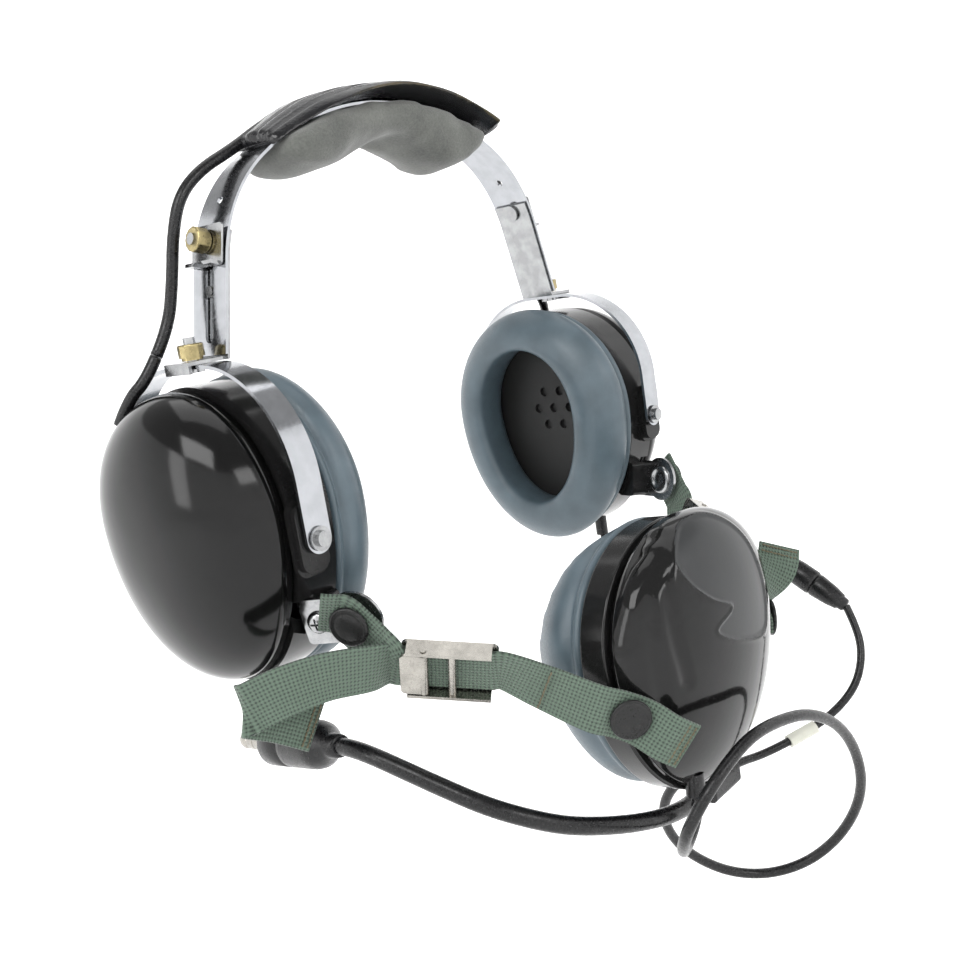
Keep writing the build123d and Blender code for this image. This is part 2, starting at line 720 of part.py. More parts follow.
buckle_low = strap_point(20, -7.5)
buckle_high = strap_point(49, 0.5)
ear_centre = snap_at + PLATE_NORMAL * STRAP_OFF_PLATE
ear_dir = in_plane(buckle_low - ear_centre, PLATE_NORMAL)
muff_centre = MUFF_SNAP + MUFF_SNAP_NORMAL * STRAP_OFF_MUFF
muff_dir = in_plane(muff_centre - buckle_high, MUFF_SNAP_NORMAL)
hem = strap_point(114, -4)
strap_runs = [
    ribbon(ear_centre - ear_dir * 8, ear_centre + ear_dir * 8, PLATE_NORMAL),
    ribbon(ear_centre + ear_dir * 8, buckle_low - ear_dir, PLATE_NORMAL + BUCKLE_NORMAL * 2),
    ribbon(buckle_low, buckle_high, BUCKLE_NORMAL),
    ribbon(buckle_high, muff_centre - muff_dir * 8, BUCKLE_NORMAL + MUFF_SNAP_NORMAL),
    ribbon(muff_centre - muff_dir * 8, muff_centre + muff_dir * 8, MUFF_SNAP_NORMAL),
]
hem_run = ribbon(muff_centre + muff_dir * 8, hem, MUFF_SNAP_NORMAL)
ear_hole = rod(snap_at, PLATE_NORMAL, 2.7, 8)
muff_hole = rod(MUFF_SNAP, MUFF_SNAP_NORMAL, 2.9, 8)
tail_dir = (TAIL_FOLD - buckle_low).normalized()
tail_runs = [
    ribbon(buckle_low + tail_dir, TAIL_FOLD, BUCKLE_NORMAL * 2 + Vector(-0.6, -0.8, 0.1)),
    ribbon(TAIL_FOLD, TAIL_HEM, Vector(-0.3, -0.9, 0.1)),
]
tab_top = ear_centre + Vector(-0.159, 0, 0.987) * 15
ear_tab = ribbon(ear_centre, tab_top, PLATE_NORMAL)

with BuildPart() as strap:
    for run in strap_runs:
        add(run)
    add(ear_hole, mode=Mode.SUBTRACT)
    add(muff_hole, mode=Mode.SUBTRACT)
with BuildPart() as right_strap:
    add(strap.part)
    add(hem_run)
    for run in tail_runs:
        add(run)
save(right_strap.part, "right_strap")
# the other strap's loose end is tucked up behind its snap instead, and its hem is turned up past the muff
turned_end = Vector(-61.5, -120.5, -49.0)
turned_start = muff_centre + in_plane(turned_end - muff_centre, MUFF_SNAP_NORMAL) * 7.4
turned_run = ribbon(turned_start, turned_end, MUFF_SNAP_NORMAL)
with BuildPart() as left_strap:
    add(strap.part)
    add(ear_tab)
    add(turned_run)
    add(ear_hole, mode=Mode.SUBTRACT)
    add(muff_hole, mode=Mode.SUBTRACT)
save(mirrored(left_strap.part), "left_strap")

buckle_along = (buckle_high - buckle_low).normalized()
buckle_normal = in_plane(BUCKLE_NORMAL, buckle_along)
buckle_plane = Plane(origin=(buckle_low + buckle_high) * 0.5, x_dir=buckle_along, z_dir=buckle_normal)
RAIL_MID = BUCKLE_INNER / 2 + BUCKLE_SHEET / 2
LEVER_X = -8.0
LEVER_PIN_UP = 2.8
with BuildPart() as buckle_frame:
    with BuildSketch(buckle_plane.offset(-2.2)):
        RectangleRounded(BUCKLE_LENGTH, BUCKLE_INNER + 2 * BUCKLE_SHEET, 2)
        for x in (-8, 8):
            with Locations((x, 0)):
                RectangleRounded(11, 12, 1.5, mode=Mode.SUBTRACT)
    extrude(amount=BUCKLE_SHEET)
    # rails along both edges
    with BuildSketch(buckle_plane.offset(-2.2)):
        for side in (-1, 1):
            with Locations((0, side * RAIL_MID)):
                Rectangle(BUCKLE_LENGTH - 4, BUCKLE_SHEET)
    extrude(amount=6.6)
    # bar that the webbing runs under
    with BuildSketch(Plane(origin=buckle_plane.from_local_coords((1, 0, 2.4)), z_dir=buckle_plane.y_dir)):
        Circle(1.3)
    extrude(amount=BUCKLE_INNER / 2 + 0.2, both=True)
    with BuildSketch(Plane(origin=buckle_plane.from_local_coords((LEVER_X, 0, LEVER_PIN_UP)),
                           z_dir=buckle_plane.y_dir)):
        Circle(1.0 + RUNNING)
    extrude(amount=20, both=True, mode=Mode.SUBTRACT)
save_pair(buckle_frame.part, "buckle_frame")

with BuildPart() as buckle_lever:
    with BuildSketch(Plane(origin=buckle_plane.from_local_coords((LEVER_X, 0, LEVER_PIN_UP)),
                           z_dir=buckle_plane.y_dir)):
        Circle(1.6)
    extrude(amount=BUCKLE_INNER / 2 - 0.35, both=True)
    with BuildSketch(Plane(origin=buckle_plane.from_local_coords((LEVER_X, 0, LEVER_PIN_UP)),
                           z_dir=buckle_plane.y_dir)):
        Circle(1.0)
    extrude(amount=BUCKLE_INNER / 2 + 1.6, both=True)
    with BuildSketch(buckle_plane.offset(LEVER_PIN_UP + 0.1)):
        with Locations((LEVER_X - 3.2, 0)):
            RectangleRounded(8.4, BUCKLE_INNER - 0.8, 1.5)
    extrude(amount=1.2)
save_pair(buckle_lever.part, "buckle_lever")


# ---- mouth muff -----------------------------------------------------------------------------------
lean = radians(MUFF_LEAN)
muff_plane = Plane(origin=MUFF_ORIGIN, x_dir=(1, 0, 0), z_dir=(0, -cos(lean), sin(lean)))
NECK_IN = 1.6
MUFF_WALL = 2.4
MUFF_SHARES = (1.0 / MUFF_DEPTH, 0.3, 0.55, 0.75, 0.89, 0.97, 0.995)


def muff_egg(out, scale=1.0):
    """The muff's outline, scaled and then moved out by a distance."""
    return egg(MUFF_HALF_WIDTH * scale + out, MUFF_UP * scale + out, MUFF_DOWN * scale + out)


with BuildPart() as mask_shell:
    with BuildSketch(muff_plane.offset(-0.8)):
        add(muff_egg(-NECK_IN))
    extrude(amount=1.8)
    for share in MUFF_SHARES:
        lifted = muff_plane.offset(MUFF_DEPTH * share)
        lifted.origin += muff_plane.y_dir * MUFF_LIFT * share
        with BuildSketch(lifted):
            add(muff_egg(0, crown_scale(share, MUFF_POWER)))
    loft()
    with BuildSketch(muff_plane.offset(-0.8)):
        add(muff_egg(-NECK_IN - MUFF_WALL))
    extrude(amount=1.81, mode=Mode.SUBTRACT)
    for share in MUFF_SHARES[:-1]:
        lifted = muff_plane.offset((MUFF_DEPTH - MUFF_WALL) * share)
        lifted.origin += muff_plane.y_dir * MUFF_LIFT * share
        with BuildSketch(lifted):
            add(muff_egg(-MUFF_WALL, crown_scale(share, MUFF_POWER)))
    loft(mode=Mode.SUBTRACT)
save(mask_shell.part, "mask_shell")

with BuildPart() as mask_rim:
    with BuildSketch(muff_plane.offset(-MUFF_RIM)):
        add(muff_egg(1.0))
    extrude(amount=MUFF_RIM - 0.8)
    fillet(mask_rim.edges(), 0.8)
    with BuildSketch(muff_plane.offset(-MUFF_RIM - 1)):
        add(muff_egg(-NECK_IN - MUFF_WALL))
    extrude(amount=MUFF_RIM + 2, mode=Mode.SUBTRACT)
save(mask_rim.part, "mask_rim")

FACE_RADIUS = 36.4
FACE_Y = -58.6
with BuildPart() as mask_seal:
    for back, half_width, up, down in ((10.8, 43.5, 39.5, 52.5), (26, 42, 39, 52), (41, 33, 30, 42)):
        with BuildSketch(muff_plane.offset(-back)):
            add(egg(half_width, up, down))
    loft()
    with BuildSketch(muff_plane.offset(-MUFF_SEAL_REACH - 1)):
        add(egg(28, 26, 38))
    extrude(amount=MUFF_SEAL_REACH, mode=Mode.SUBTRACT)
    # hollowed to a face
    with BuildSketch(Plane.XY.offset(-130)):
        with Locations((0, FACE_Y)):
            Circle(FACE_RADIUS)
    extrude(amount=130, mode=Mode.SUBTRACT)
save(mask_seal.part, "mask_seal")

with BuildPart() as microphone:
    with BuildSketch(muff_plane.offset(4)):
        Circle(8)
    extrude(amount=11)
    with BuildSketch(muff_plane.offset(-6)):
        Circle(15)
    extrude(amount=10)
    fillet(microphone.edges().filter_by(GeomType.CIRCLE).sort_by(Axis.Y)[-1], 1.5)
save(microphone.part, "microphone")

CAP_OVER_MUFF = 4.6
STUD_STEPS = (
    (-2.0, 0.9, 7.0),
    (0.9, CAP_OVER_MUFF, 2.4),
    (CAP_OVER_MUFF, CAP_OVER_MUFF + 1.9, CAP_RADIUS),
)
snap_plane = Plane(origin=MUFF_SNAP, z_dir=MUFF_SNAP_NORMAL)
with BuildPart() as mask_snaps:
    for low, high, radius in STUD_STEPS:
        with BuildSketch(snap_plane.offset(low)):
            Circle(radius)
        extrude(amount=high - low)
    mirror(about=Plane.YZ)
save(mask_snaps.part, "mask_snaps")

save(rod(Vector(-17, -122, -103), Vector(0, 0.05, -1), 3.4, 8.5), "mic_gland")

# ---- cords, plug and connector --------------------------------------------------------------------
overhead_lower = tube(LOWER_ROUTE, OVERHEAD_RADIUS, "overhead cable, lower")
save_pair(overhead_lower, "overhead_cable_lower")
save(tube(MAIN_ROUTE, MAIN_RADIUS, "main cable"), "main_cable")
save(tube(MIC_ROUTE, MIC_RADIUS, "microphone lead"), "mic_lead")
save(tube(LEAD_ROUTE, LEAD_RADIUS, "headset lead"), "headset_lead")
save(tube(EAR_LEAD_ROUTE, 1.25, "ear lead"), "ear_lead")

with BuildPart() as cable_junction:
    with BuildSketch(Plane(origin=(5, -110.5, -123.5), x_dir=(0, 1, 0), z_dir=(1, 0, 0))):
        RectangleRounded(11, 9, 2.5)
    extrude(amount=18)
save(cable_junction.part, "cable_junction")

save(rod(Vector(98, -12, -48), Vector(0, 0, -1), 2.8, 9), "ear_gland")

sleeve_start = Vector(66, -127, -122)
sleeve_end = Vector(54, -120, -125)
sleeve_axis = (sleeve_end - sleeve_start).normalized()
sleeve_length = (sleeve_end - sleeve_start).length
save(rod(sleeve_start + sleeve_axis * 0.8, sleeve_axis, 2.5, sleeve_length - 1.6, LEAD_RADIUS), "marker_sleeve")

connector_axis = (CONNECTOR_FRONT - CONNECTOR_BACK).normalized()
connector_length = (CONNECTOR_FRONT - CONNECTOR_BACK).length
connector_middle = (CONNECTOR_FRONT + CONNECTOR_BACK) * 0.5
with BuildPart() as connector_socket:
    with BuildSketch(Plane(origin=connector_middle, z_dir=connector_axis * -1)):
        Circle(5.2)
    extrude(amount=connector_length / 2)
    chamfer(connector_socket.edges().sort_by(Axis.Y)[-1], 3, 1.6)
save(connector_socket.part, "connector_socket")
with BuildPart() as connector_plug:
    with BuildSketch(Plane(origin=connector_middle, z_dir=connector_axis)):
        Circle(5.0)
    extrude(amount=connector_length / 2, taper=5)
save(connector_plug.part, "connector_plug")

with BuildPart() as plug_body:
    with BuildSketch(Plane(origin=PLUG_BACK, z_dir=PLUG_AXIS)):
        Circle(PLUG_BODY_RADIUS)
    extrude(amount=PLUG_BODY_LENGTH)
    chamfer(plug_body.edges().sort_by(Axis.Y)[0], 8, 4)
save(plug_body.part, "plug_body")

barrel_start = PLUG_BACK + PLUG_AXIS * PLUG_BODY_LENGTH
with BuildPart() as plug_barrel:
    with BuildSketch(Plane(origin=barrel_start, z_dir=PLUG_AXIS)):
        Circle(BARREL_RADIUS)
    extrude(amount=BARREL_LENGTH)
    fillet(plug_barrel.edges().sort_by(Axis.Y)[-1], 2.2)
save(plug_barrel.part, "plug_barrel")
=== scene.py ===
"""Looks of the aviation headset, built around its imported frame.  Lengths in the helpers are millimetres."""

import json
from math import cos, pi, radians, sin

import bmesh
import bpy
from mathutils import Matrix, Vector, noise
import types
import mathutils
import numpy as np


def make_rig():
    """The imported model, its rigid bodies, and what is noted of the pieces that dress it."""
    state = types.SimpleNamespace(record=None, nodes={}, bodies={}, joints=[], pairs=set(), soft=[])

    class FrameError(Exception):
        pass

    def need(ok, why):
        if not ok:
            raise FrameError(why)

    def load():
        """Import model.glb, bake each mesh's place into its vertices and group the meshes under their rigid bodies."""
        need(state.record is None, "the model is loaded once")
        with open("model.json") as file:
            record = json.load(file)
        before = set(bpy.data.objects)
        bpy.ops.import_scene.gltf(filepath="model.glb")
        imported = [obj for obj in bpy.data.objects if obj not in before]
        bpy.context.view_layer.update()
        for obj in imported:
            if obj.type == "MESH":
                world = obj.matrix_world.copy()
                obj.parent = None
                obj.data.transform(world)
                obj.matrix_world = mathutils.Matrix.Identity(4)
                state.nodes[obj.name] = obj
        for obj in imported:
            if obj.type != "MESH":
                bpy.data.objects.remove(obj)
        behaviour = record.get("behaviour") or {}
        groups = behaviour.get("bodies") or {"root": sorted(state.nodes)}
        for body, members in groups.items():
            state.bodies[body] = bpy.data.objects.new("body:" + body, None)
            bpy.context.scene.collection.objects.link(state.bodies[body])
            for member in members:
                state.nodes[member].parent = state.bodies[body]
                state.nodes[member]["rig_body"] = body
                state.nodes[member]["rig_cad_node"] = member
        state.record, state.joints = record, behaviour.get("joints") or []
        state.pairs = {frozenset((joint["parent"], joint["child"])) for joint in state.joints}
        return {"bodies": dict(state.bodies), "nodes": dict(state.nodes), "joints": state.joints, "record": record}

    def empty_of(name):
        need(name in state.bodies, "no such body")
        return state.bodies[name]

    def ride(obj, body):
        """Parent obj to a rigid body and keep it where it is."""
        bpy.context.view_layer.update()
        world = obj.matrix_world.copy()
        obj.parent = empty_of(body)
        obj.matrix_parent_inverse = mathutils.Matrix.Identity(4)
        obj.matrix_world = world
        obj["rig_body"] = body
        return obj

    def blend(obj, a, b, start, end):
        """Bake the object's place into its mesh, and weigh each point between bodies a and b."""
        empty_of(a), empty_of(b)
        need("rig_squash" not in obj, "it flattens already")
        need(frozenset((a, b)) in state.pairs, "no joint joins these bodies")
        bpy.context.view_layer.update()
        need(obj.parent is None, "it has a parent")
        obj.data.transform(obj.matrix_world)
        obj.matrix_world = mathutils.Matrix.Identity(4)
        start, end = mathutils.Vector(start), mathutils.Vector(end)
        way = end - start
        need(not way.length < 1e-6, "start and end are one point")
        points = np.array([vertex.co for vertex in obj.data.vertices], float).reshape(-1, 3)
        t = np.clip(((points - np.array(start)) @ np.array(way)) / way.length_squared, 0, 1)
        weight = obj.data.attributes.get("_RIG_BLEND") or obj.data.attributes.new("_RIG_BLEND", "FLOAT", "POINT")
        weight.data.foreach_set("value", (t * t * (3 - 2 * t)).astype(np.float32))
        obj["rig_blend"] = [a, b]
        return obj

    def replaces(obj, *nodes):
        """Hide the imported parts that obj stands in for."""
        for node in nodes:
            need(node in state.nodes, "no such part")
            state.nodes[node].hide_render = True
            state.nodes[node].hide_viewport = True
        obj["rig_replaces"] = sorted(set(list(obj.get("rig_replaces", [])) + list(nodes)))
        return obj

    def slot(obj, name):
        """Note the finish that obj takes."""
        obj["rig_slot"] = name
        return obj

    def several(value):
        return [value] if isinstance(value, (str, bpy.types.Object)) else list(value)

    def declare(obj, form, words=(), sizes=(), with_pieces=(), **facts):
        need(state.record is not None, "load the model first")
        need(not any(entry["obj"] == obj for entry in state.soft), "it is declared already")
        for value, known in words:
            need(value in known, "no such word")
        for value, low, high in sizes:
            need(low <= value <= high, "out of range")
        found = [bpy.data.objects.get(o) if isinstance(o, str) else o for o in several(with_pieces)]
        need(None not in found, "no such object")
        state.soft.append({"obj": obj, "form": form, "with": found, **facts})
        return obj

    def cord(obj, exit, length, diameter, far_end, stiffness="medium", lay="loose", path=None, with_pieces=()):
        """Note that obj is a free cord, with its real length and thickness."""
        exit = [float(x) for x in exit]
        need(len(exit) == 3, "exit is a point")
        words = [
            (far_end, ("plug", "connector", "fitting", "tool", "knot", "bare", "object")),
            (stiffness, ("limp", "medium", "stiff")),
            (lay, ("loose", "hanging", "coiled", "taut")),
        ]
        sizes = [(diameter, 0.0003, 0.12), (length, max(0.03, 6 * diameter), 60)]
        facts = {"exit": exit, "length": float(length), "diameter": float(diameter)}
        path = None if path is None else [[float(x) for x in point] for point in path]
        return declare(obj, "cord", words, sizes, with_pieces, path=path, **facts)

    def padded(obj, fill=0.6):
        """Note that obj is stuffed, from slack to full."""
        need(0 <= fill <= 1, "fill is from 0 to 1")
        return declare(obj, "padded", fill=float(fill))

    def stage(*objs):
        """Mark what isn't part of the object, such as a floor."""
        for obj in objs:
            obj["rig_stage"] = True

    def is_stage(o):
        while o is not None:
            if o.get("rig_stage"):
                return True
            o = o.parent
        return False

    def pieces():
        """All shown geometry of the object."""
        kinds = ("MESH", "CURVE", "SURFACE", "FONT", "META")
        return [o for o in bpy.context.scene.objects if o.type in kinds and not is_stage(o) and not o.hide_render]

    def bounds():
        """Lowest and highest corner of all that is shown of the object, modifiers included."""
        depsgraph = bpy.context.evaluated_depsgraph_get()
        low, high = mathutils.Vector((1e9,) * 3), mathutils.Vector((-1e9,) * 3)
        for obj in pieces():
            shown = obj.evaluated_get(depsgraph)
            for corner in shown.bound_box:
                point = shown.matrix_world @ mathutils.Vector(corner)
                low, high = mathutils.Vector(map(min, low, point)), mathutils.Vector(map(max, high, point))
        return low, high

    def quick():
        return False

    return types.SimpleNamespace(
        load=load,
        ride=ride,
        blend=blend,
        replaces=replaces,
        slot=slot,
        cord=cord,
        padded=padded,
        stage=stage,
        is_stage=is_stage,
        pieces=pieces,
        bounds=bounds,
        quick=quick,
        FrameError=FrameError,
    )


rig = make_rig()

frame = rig.load()
cad_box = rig.bounds()
V = Vector
SIDES = (("right", -1), ("left", 1))


# ---- mesh helpers ---------------------------------------------------------------------------------
def linked(name, data):
    """A new object in the scene."""
    obj = bpy.data.objects.new(name, data)
    bpy.context.scene.collection.objects.link(obj)
    return obj


def evaluated_mesh(obj):
    """The mesh of an object with its modifiers or its spline worked out."""
    bpy.context.view_layer.update()
    return bpy.data.meshes.new_from_object(obj.evaluated_get(bpy.context.evaluated_depsgraph_get()))


def add_object(name, verts, faces, uvs=None, smooth=True):
    mesh = bpy.data.meshes.new(name)
    mesh.from_pydata([V(v) * 0.001 for v in verts], [], faces)
    if uvs:
        layer = mesh.uv_layers.new(name="UVMap")
        for loop in mesh.loops:
            layer.data[loop.index].uv = uvs[loop.vertex_index]
    bm = bmesh.new()
    bm.from_mesh(mesh)
    bmesh.ops.recalc_face_normals(bm, faces=bm.faces)
    bm.to_mesh(mesh)
    bm.free()
    for polygon in mesh.polygons:
        polygon.use_smooth = smooth
    return linked(name, mesh)


def grid(name, rows, ring=True, loop=False, caps=(False, False), poles=(None, None), uvs=None, smooth=True):
    """A surface through rows of points.  ring closes each row, loop joins the last row to the first.
    An end is left open, capped by one face, or closed by triangles round a pole."""
    n = len(rows[0])
    verts = [p for row in rows for p in row]
    faces = []
    count = len(rows) if loop else len(rows) - 1
    for i in range(count):
        a = i * n
        b = ((i + 1) % len(rows)) * n
        for j in range(n if ring else n - 1):
            k = (j + 1) % n
            faces.append((a + j, a + k, b + k, b + j))
    for at_end, wanted in enumerate(caps):
        if wanted:
            base = (len(rows) - 1) * n if at_end else 0
            faces.append(tuple(base + j for j in range(n)))
    for at_end, pole in enumerate(poles):
        if pole is not None:
            base = (len(rows) - 1) * n if at_end else 0
            verts.append(pole)
            faces += [(base + j, base + (j + 1) % n, len(verts) - 1) for j in range(n)]
    return add_object(name, verts, faces, uvs, smooth)


def modify(obj, kind, **settings):
    """Adds a modifier and applies it."""
    modifier = obj.modifiers.new(kind.lower(), kind)
    for key, value in settings.items():
        setattr(modifier, key, value)
    mesh = evaluated_mesh(obj)
    obj.modifiers.clear()
    old = obj.data
    obj.data = mesh
    bpy.data.meshes.remove(old)
    return obj


def join(name, objects):
    """One object out of several, in the order given."""
    bpy.ops.object.select_all(action="DESELECT")
    for obj in objects:
        obj.select_set(True)
    bpy.context.view_layer.objects.active = objects[0]
    bpy.ops.object.join()
    objects[0].name = name
    objects[0].data.name = name
    return objects[0]


def mirror_copy(obj, name):
    """The same piece on the other side of the head."""
    copy = obj.copy()
    copy.data = obj.data.copy()
    copy.name = name
    bpy.context.scene.collection.objects.link(copy)
    copy.data.transform(Matrix.Scale(-1, 4, (1, 0, 0)))
    copy.data.flip_normals()
    return copy


def smoothstep(a, b, x):
    t = min(max((x - a) / (b - a), 0.0), 1.0)
    return t * t * (3 - 2 * t)


def bump(x, centre, width):
    t = (x - centre) / width
    return (1 - t * t) ** 2 if abs(t) < 1 else 0.0


def plane(origin, normal, x_dir):
    """Origin and three axes of a drawing plane."""
    z = V(normal).normalized()
    x = V(x_dir)
    x = (x - z * x.dot(z)).normalized()
    return V(origin), x, z.cross(x), z


def disc(name, frame_, profile, sides=48):
    """A turned piece: profile is (radius, height) pairs up its axis."""
    o, x, y, z = frame_
    rows = []
    for r, h in profile:
        row = []
        for j in range(sides):
            a = 2 * pi * j / sides
            row.append(o + x * (r * cos(a)) + y * (r * sin(a)) + z * h)
        rows.append(row)
    return grid(name, rows, poles=(o + z * profile[0][1], o + z * profile[-1][1]))


def slab(name, frame_, outline, low, high, edge=0.25):
    """A flat plate with rounded edges: outline is (x, y) pairs on a plane."""
    o, x, y, z = frame_
    bm = bmesh.new()
    verts = [bm.verts.new((o + x * p[0] + y * p[1] + z * low) * 0.001) for p in outline]
    face = bm.faces.new(verts)
    extruded = bmesh.ops.extrude_face_region(bm, geom=[face])
    moved = [g for g in extruded["geom"] if isinstance(g, bmesh.types.BMVert)]
    bmesh.ops.translate(bm, verts=moved, vec=z * ((high - low) * 0.001))
    bmesh.ops.recalc_face_normals(bm, faces=bm.faces)
    mesh = bpy.data.meshes.new(name)
    bm.to_mesh(mesh)
    bm.free()
    obj = linked(name, mesh)
    if edge:
        modify(obj, "BEVEL", width=edge * 0.001, segments=3, limit_method="ANGLE", angle_limit=radians(35))
    shade(obj, 35)
    return obj


def shade(obj, angle):
    """Smooth shading that keeps the edges sharper than an angle."""
    bm = bmesh.new()
    bm.from_mesh(obj.data)
    limit = radians(angle)
    for edge in bm.edges:
        edge.smooth = not (len(edge.link_faces) == 2 and edge.calc_face_angle(0) > limit)
    for face in bm.faces:
        face.smooth = True
    bm.to_mesh(obj.data)
    bm.free()


def rounded(cx, cy, w, h, r, n=6):
    points = []
    for qx, qy, start in ((1, 1, 0), (-1, 1, 90), (-1, -1, 180), (1, -1, 270)):
        for j in range(n + 1):
            a = radians(start + 90 * j / n)
            points.append((cx + qx * (w / 2 - r) + r * cos(a), cy + qy * (h / 2 - r) + r * sin(a)))
    return points


def egg_points(half, up, down, n=144):
    """Points round an outline with an elliptical top and a longer elliptical bottom."""
    ring = []
    for j in range(n):
        a = 2 * pi * j / n
        ring.append((half * cos(a), (up if sin(a) >= 0 else down) * sin(a)))
    return ring


def spline_points(route, order=3, resolution=12):
    """Points along the NURBS spline whose control points are the route."""
    curve = bpy.data.curves.new("route", "CURVE")
    curve.dimensions = "3D"
    fill_spline(curve, route, order, resolution)
    obj = linked("route", curve)
    mesh = evaluated_mesh(obj)
    points = [v.co * 1000 for v in mesh.vertices]
    bpy.data.objects.remove(obj)
    bpy.data.meshes.remove(mesh)
    return points


def fill_spline(curve, route, order=3, resolution=12):
    spline = curve.splines.new("NURBS")
    spline.points.add(len(route) - 1)
    for point, place in zip(spline.points, route):
        point.co = (*(V(place) * 0.001), 1)
    spline.order_u = order
    spline.use_endpoint_u = True
    spline.resolution_u = resolution


def cord_curve(name, route, diameter):
    curve = bpy.data.curves.new(name, "CURVE")
    curve.dimensions = "3D"
    fill_spline(curve, route)
    curve.bevel_depth = diameter * 0.0005
    curve.bevel_resolution = 7
    curve.use_fill_caps = True
    return linked(name, curve)


def tube_mesh(name, points, radius, sides):
    """A mesh tube along points.  UVs are the length along it and the share round it."""
    lengths = [0.0]
    for a, b in zip(points, points[1:]):
        lengths.append(lengths[-1] + (b - a).length)
    rows, uvs = [], []
    side = None
    for i, p in enumerate(points):
        t = (points[min(i + 1, len(points) - 1)] - points[max(i - 1, 0)]).normalized()
        side = (side - t * side.dot(t)).normalized() if side else t.orthogonal().normalized()
        other = t.cross(side)
        row = []
        for j in range(sides):
            a = 2 * pi * j / sides
            row.append(p + side * (radius * cos(a)) + other * (radius * sin(a)))
            uvs.append((lengths[i], j / sides))
        rows.append(row)
    return grid(name, rows, caps=(True, True), uvs=uvs)


def catmull(points, steps=10):
    """A smooth line through points, which may be vectors of any size."""
    out = []
    padded = [points[0] * 2 - points[1]] + list(points) + [points[-1] * 2 - points[-2]]
    for a, b, c, d in zip(padded, padded[1:], padded[2:], padded[3:]):
        for s in range(steps):
            t = s / steps
            square, cube = a * 2 - b * 5 + c * 4 - d, b * 3 - a - c * 3 + d
            out.append((b * 2 + (c - a) * t + square * t**2 + cube * t**3) / 2)
    out.append(points[-1].copy())
    return out


def ribbon(name, path, widths, width=16.0, thick=1.3, steps=10, across=12):
    """Webbing along a line: widths are directions across it.  UVs are millimetres along and across."""
    centre = catmull([V(p) for p in path], steps)
    sideways = catmull([V(w).normalized() for w in widths], steps)
    section = []
    for j in range(across + 1):
        section.append((-width / 2 + width * j / across, thick / 2))
    section.append((width / 2 + 0.25, 0))
    for j in range(across, -1, -1):
        section.append((-width / 2 + width * j / across, -thick / 2))
    section.append((-width / 2 - 0.25, 0))
    rows, uvs = [], []
    length = 0.0
    for i, p in enumerate(centre):
        if i:
            length += (p - centre[i - 1]).length
        t = (centre[min(i + 1, len(centre) - 1)] - centre[max(i - 1, 0)]).normalized()
        w = sideways[i]
        w = (w - t * w.dot(t)).normalized()
        n = t.cross(w)
        rows.append([p + w * a + n * b for a, b in section])
        uvs += [(length, a + width / 2) for a, b in section]
    obj = grid(name, rows, caps=(True, True), uvs=uvs)
    shade(obj, 50)
    return obj


# ---- materials ------------------------------------------------------------------------------------
class Look:
    """A small builder of node materials."""

    def __init__(self, name, colour, rough, **sockets):
        self.material = bpy.data.materials.new(name)
        self.material.use_nodes = True
        self.tree = self.material.node_tree
        self.shader = self.tree.nodes["Principled BSDF"]
        self.shader.inputs["Base Color"].default_value = (*colour, 1)
        self.shader.inputs["Roughness"].default_value = rough
        for key, value in sockets.items():
            self.shader.inputs[key.replace("_", " ")].default_value = value
        self.coords = self.node("ShaderNodeTexCoord")

    def node(self, kind, **settings):
        made = self.tree.nodes.new(kind)
        for key, value in settings.items():
            setattr(made, key, value)
        return made

    def link(self, a, b):
        self.tree.links.new(a, b)

    def texture(self, kind, scale, coords="Object", stretch=None, **settings):
        """A texture in millimetres on object or UV coordinates."""
        made = self.node(kind)
        for key, value in settings.items():
            if key in made.inputs:
                made.inputs[key].default_value = value
            else:
                setattr(made, key, value)
        made.inputs["Scale"].default_value = scale
        mapping = self.node("ShaderNodeMapping")
        size = 1000.0 if coords == "Object" else 1.0
        mapping.inputs["Scale"].default_value = [size * s for s in stretch or (1, 1, 1)]
        self.link(self.coords.outputs[coords], mapping.inputs["Vector"])
        self.link(mapping.outputs["Vector"], made.inputs["Vector"])
        return made

    def noise(self, scale, **settings):
        return self.texture("ShaderNodeTexNoise", scale, **settings).outputs["Fac"]

    def ramp(self, source, stops):
        made = self.node("ShaderNodeValToRGB")
        elements = made.color_ramp.elements
        while len(elements) < len(stops):
            elements.new(0.5)
        for element, (place, colour) in zip(elements, stops):
            element.position = place
            element.color = (colour, colour, colour, 1) if isinstance(colour, (int, float)) else (*colour, 1)
        self.link(source, made.inputs["Fac"])
        return made.outputs["Color"]

    def colour(self, source, stops):
        self.link(self.ramp(source, stops), self.shader.inputs["Base Color"])

    def rough(self, source, stops):
        self.link(self.ramp(source, stops), self.shader.inputs["Roughness"])

    def math(self, operation, a, b=None):
        made = self.node("ShaderNodeMath", operation=operation)
        for i, value in enumerate((a, b)):
            if isinstance(value, (int, float)):
                made.inputs[i].default_value = value
            elif value is not None:
                self.link(value, made.inputs[i])
        return made.outputs[0]

    def bump(self, height, distance, strength=1.0):
        """Height field in millimetres; several bumps chain."""
        made = self.node("ShaderNodeBump")
        made.inputs["Strength"].default_value = strength
        made.inputs["Distance"].default_value = distance * 0.001
        self.link(height, made.inputs["Height"])
        old = self.shader.inputs["Normal"].links
        if old:
            self.link(old[0].from_socket, made.inputs["Normal"])
        self.link(made.outputs["Normal"], self.shader.inputs["Normal"])


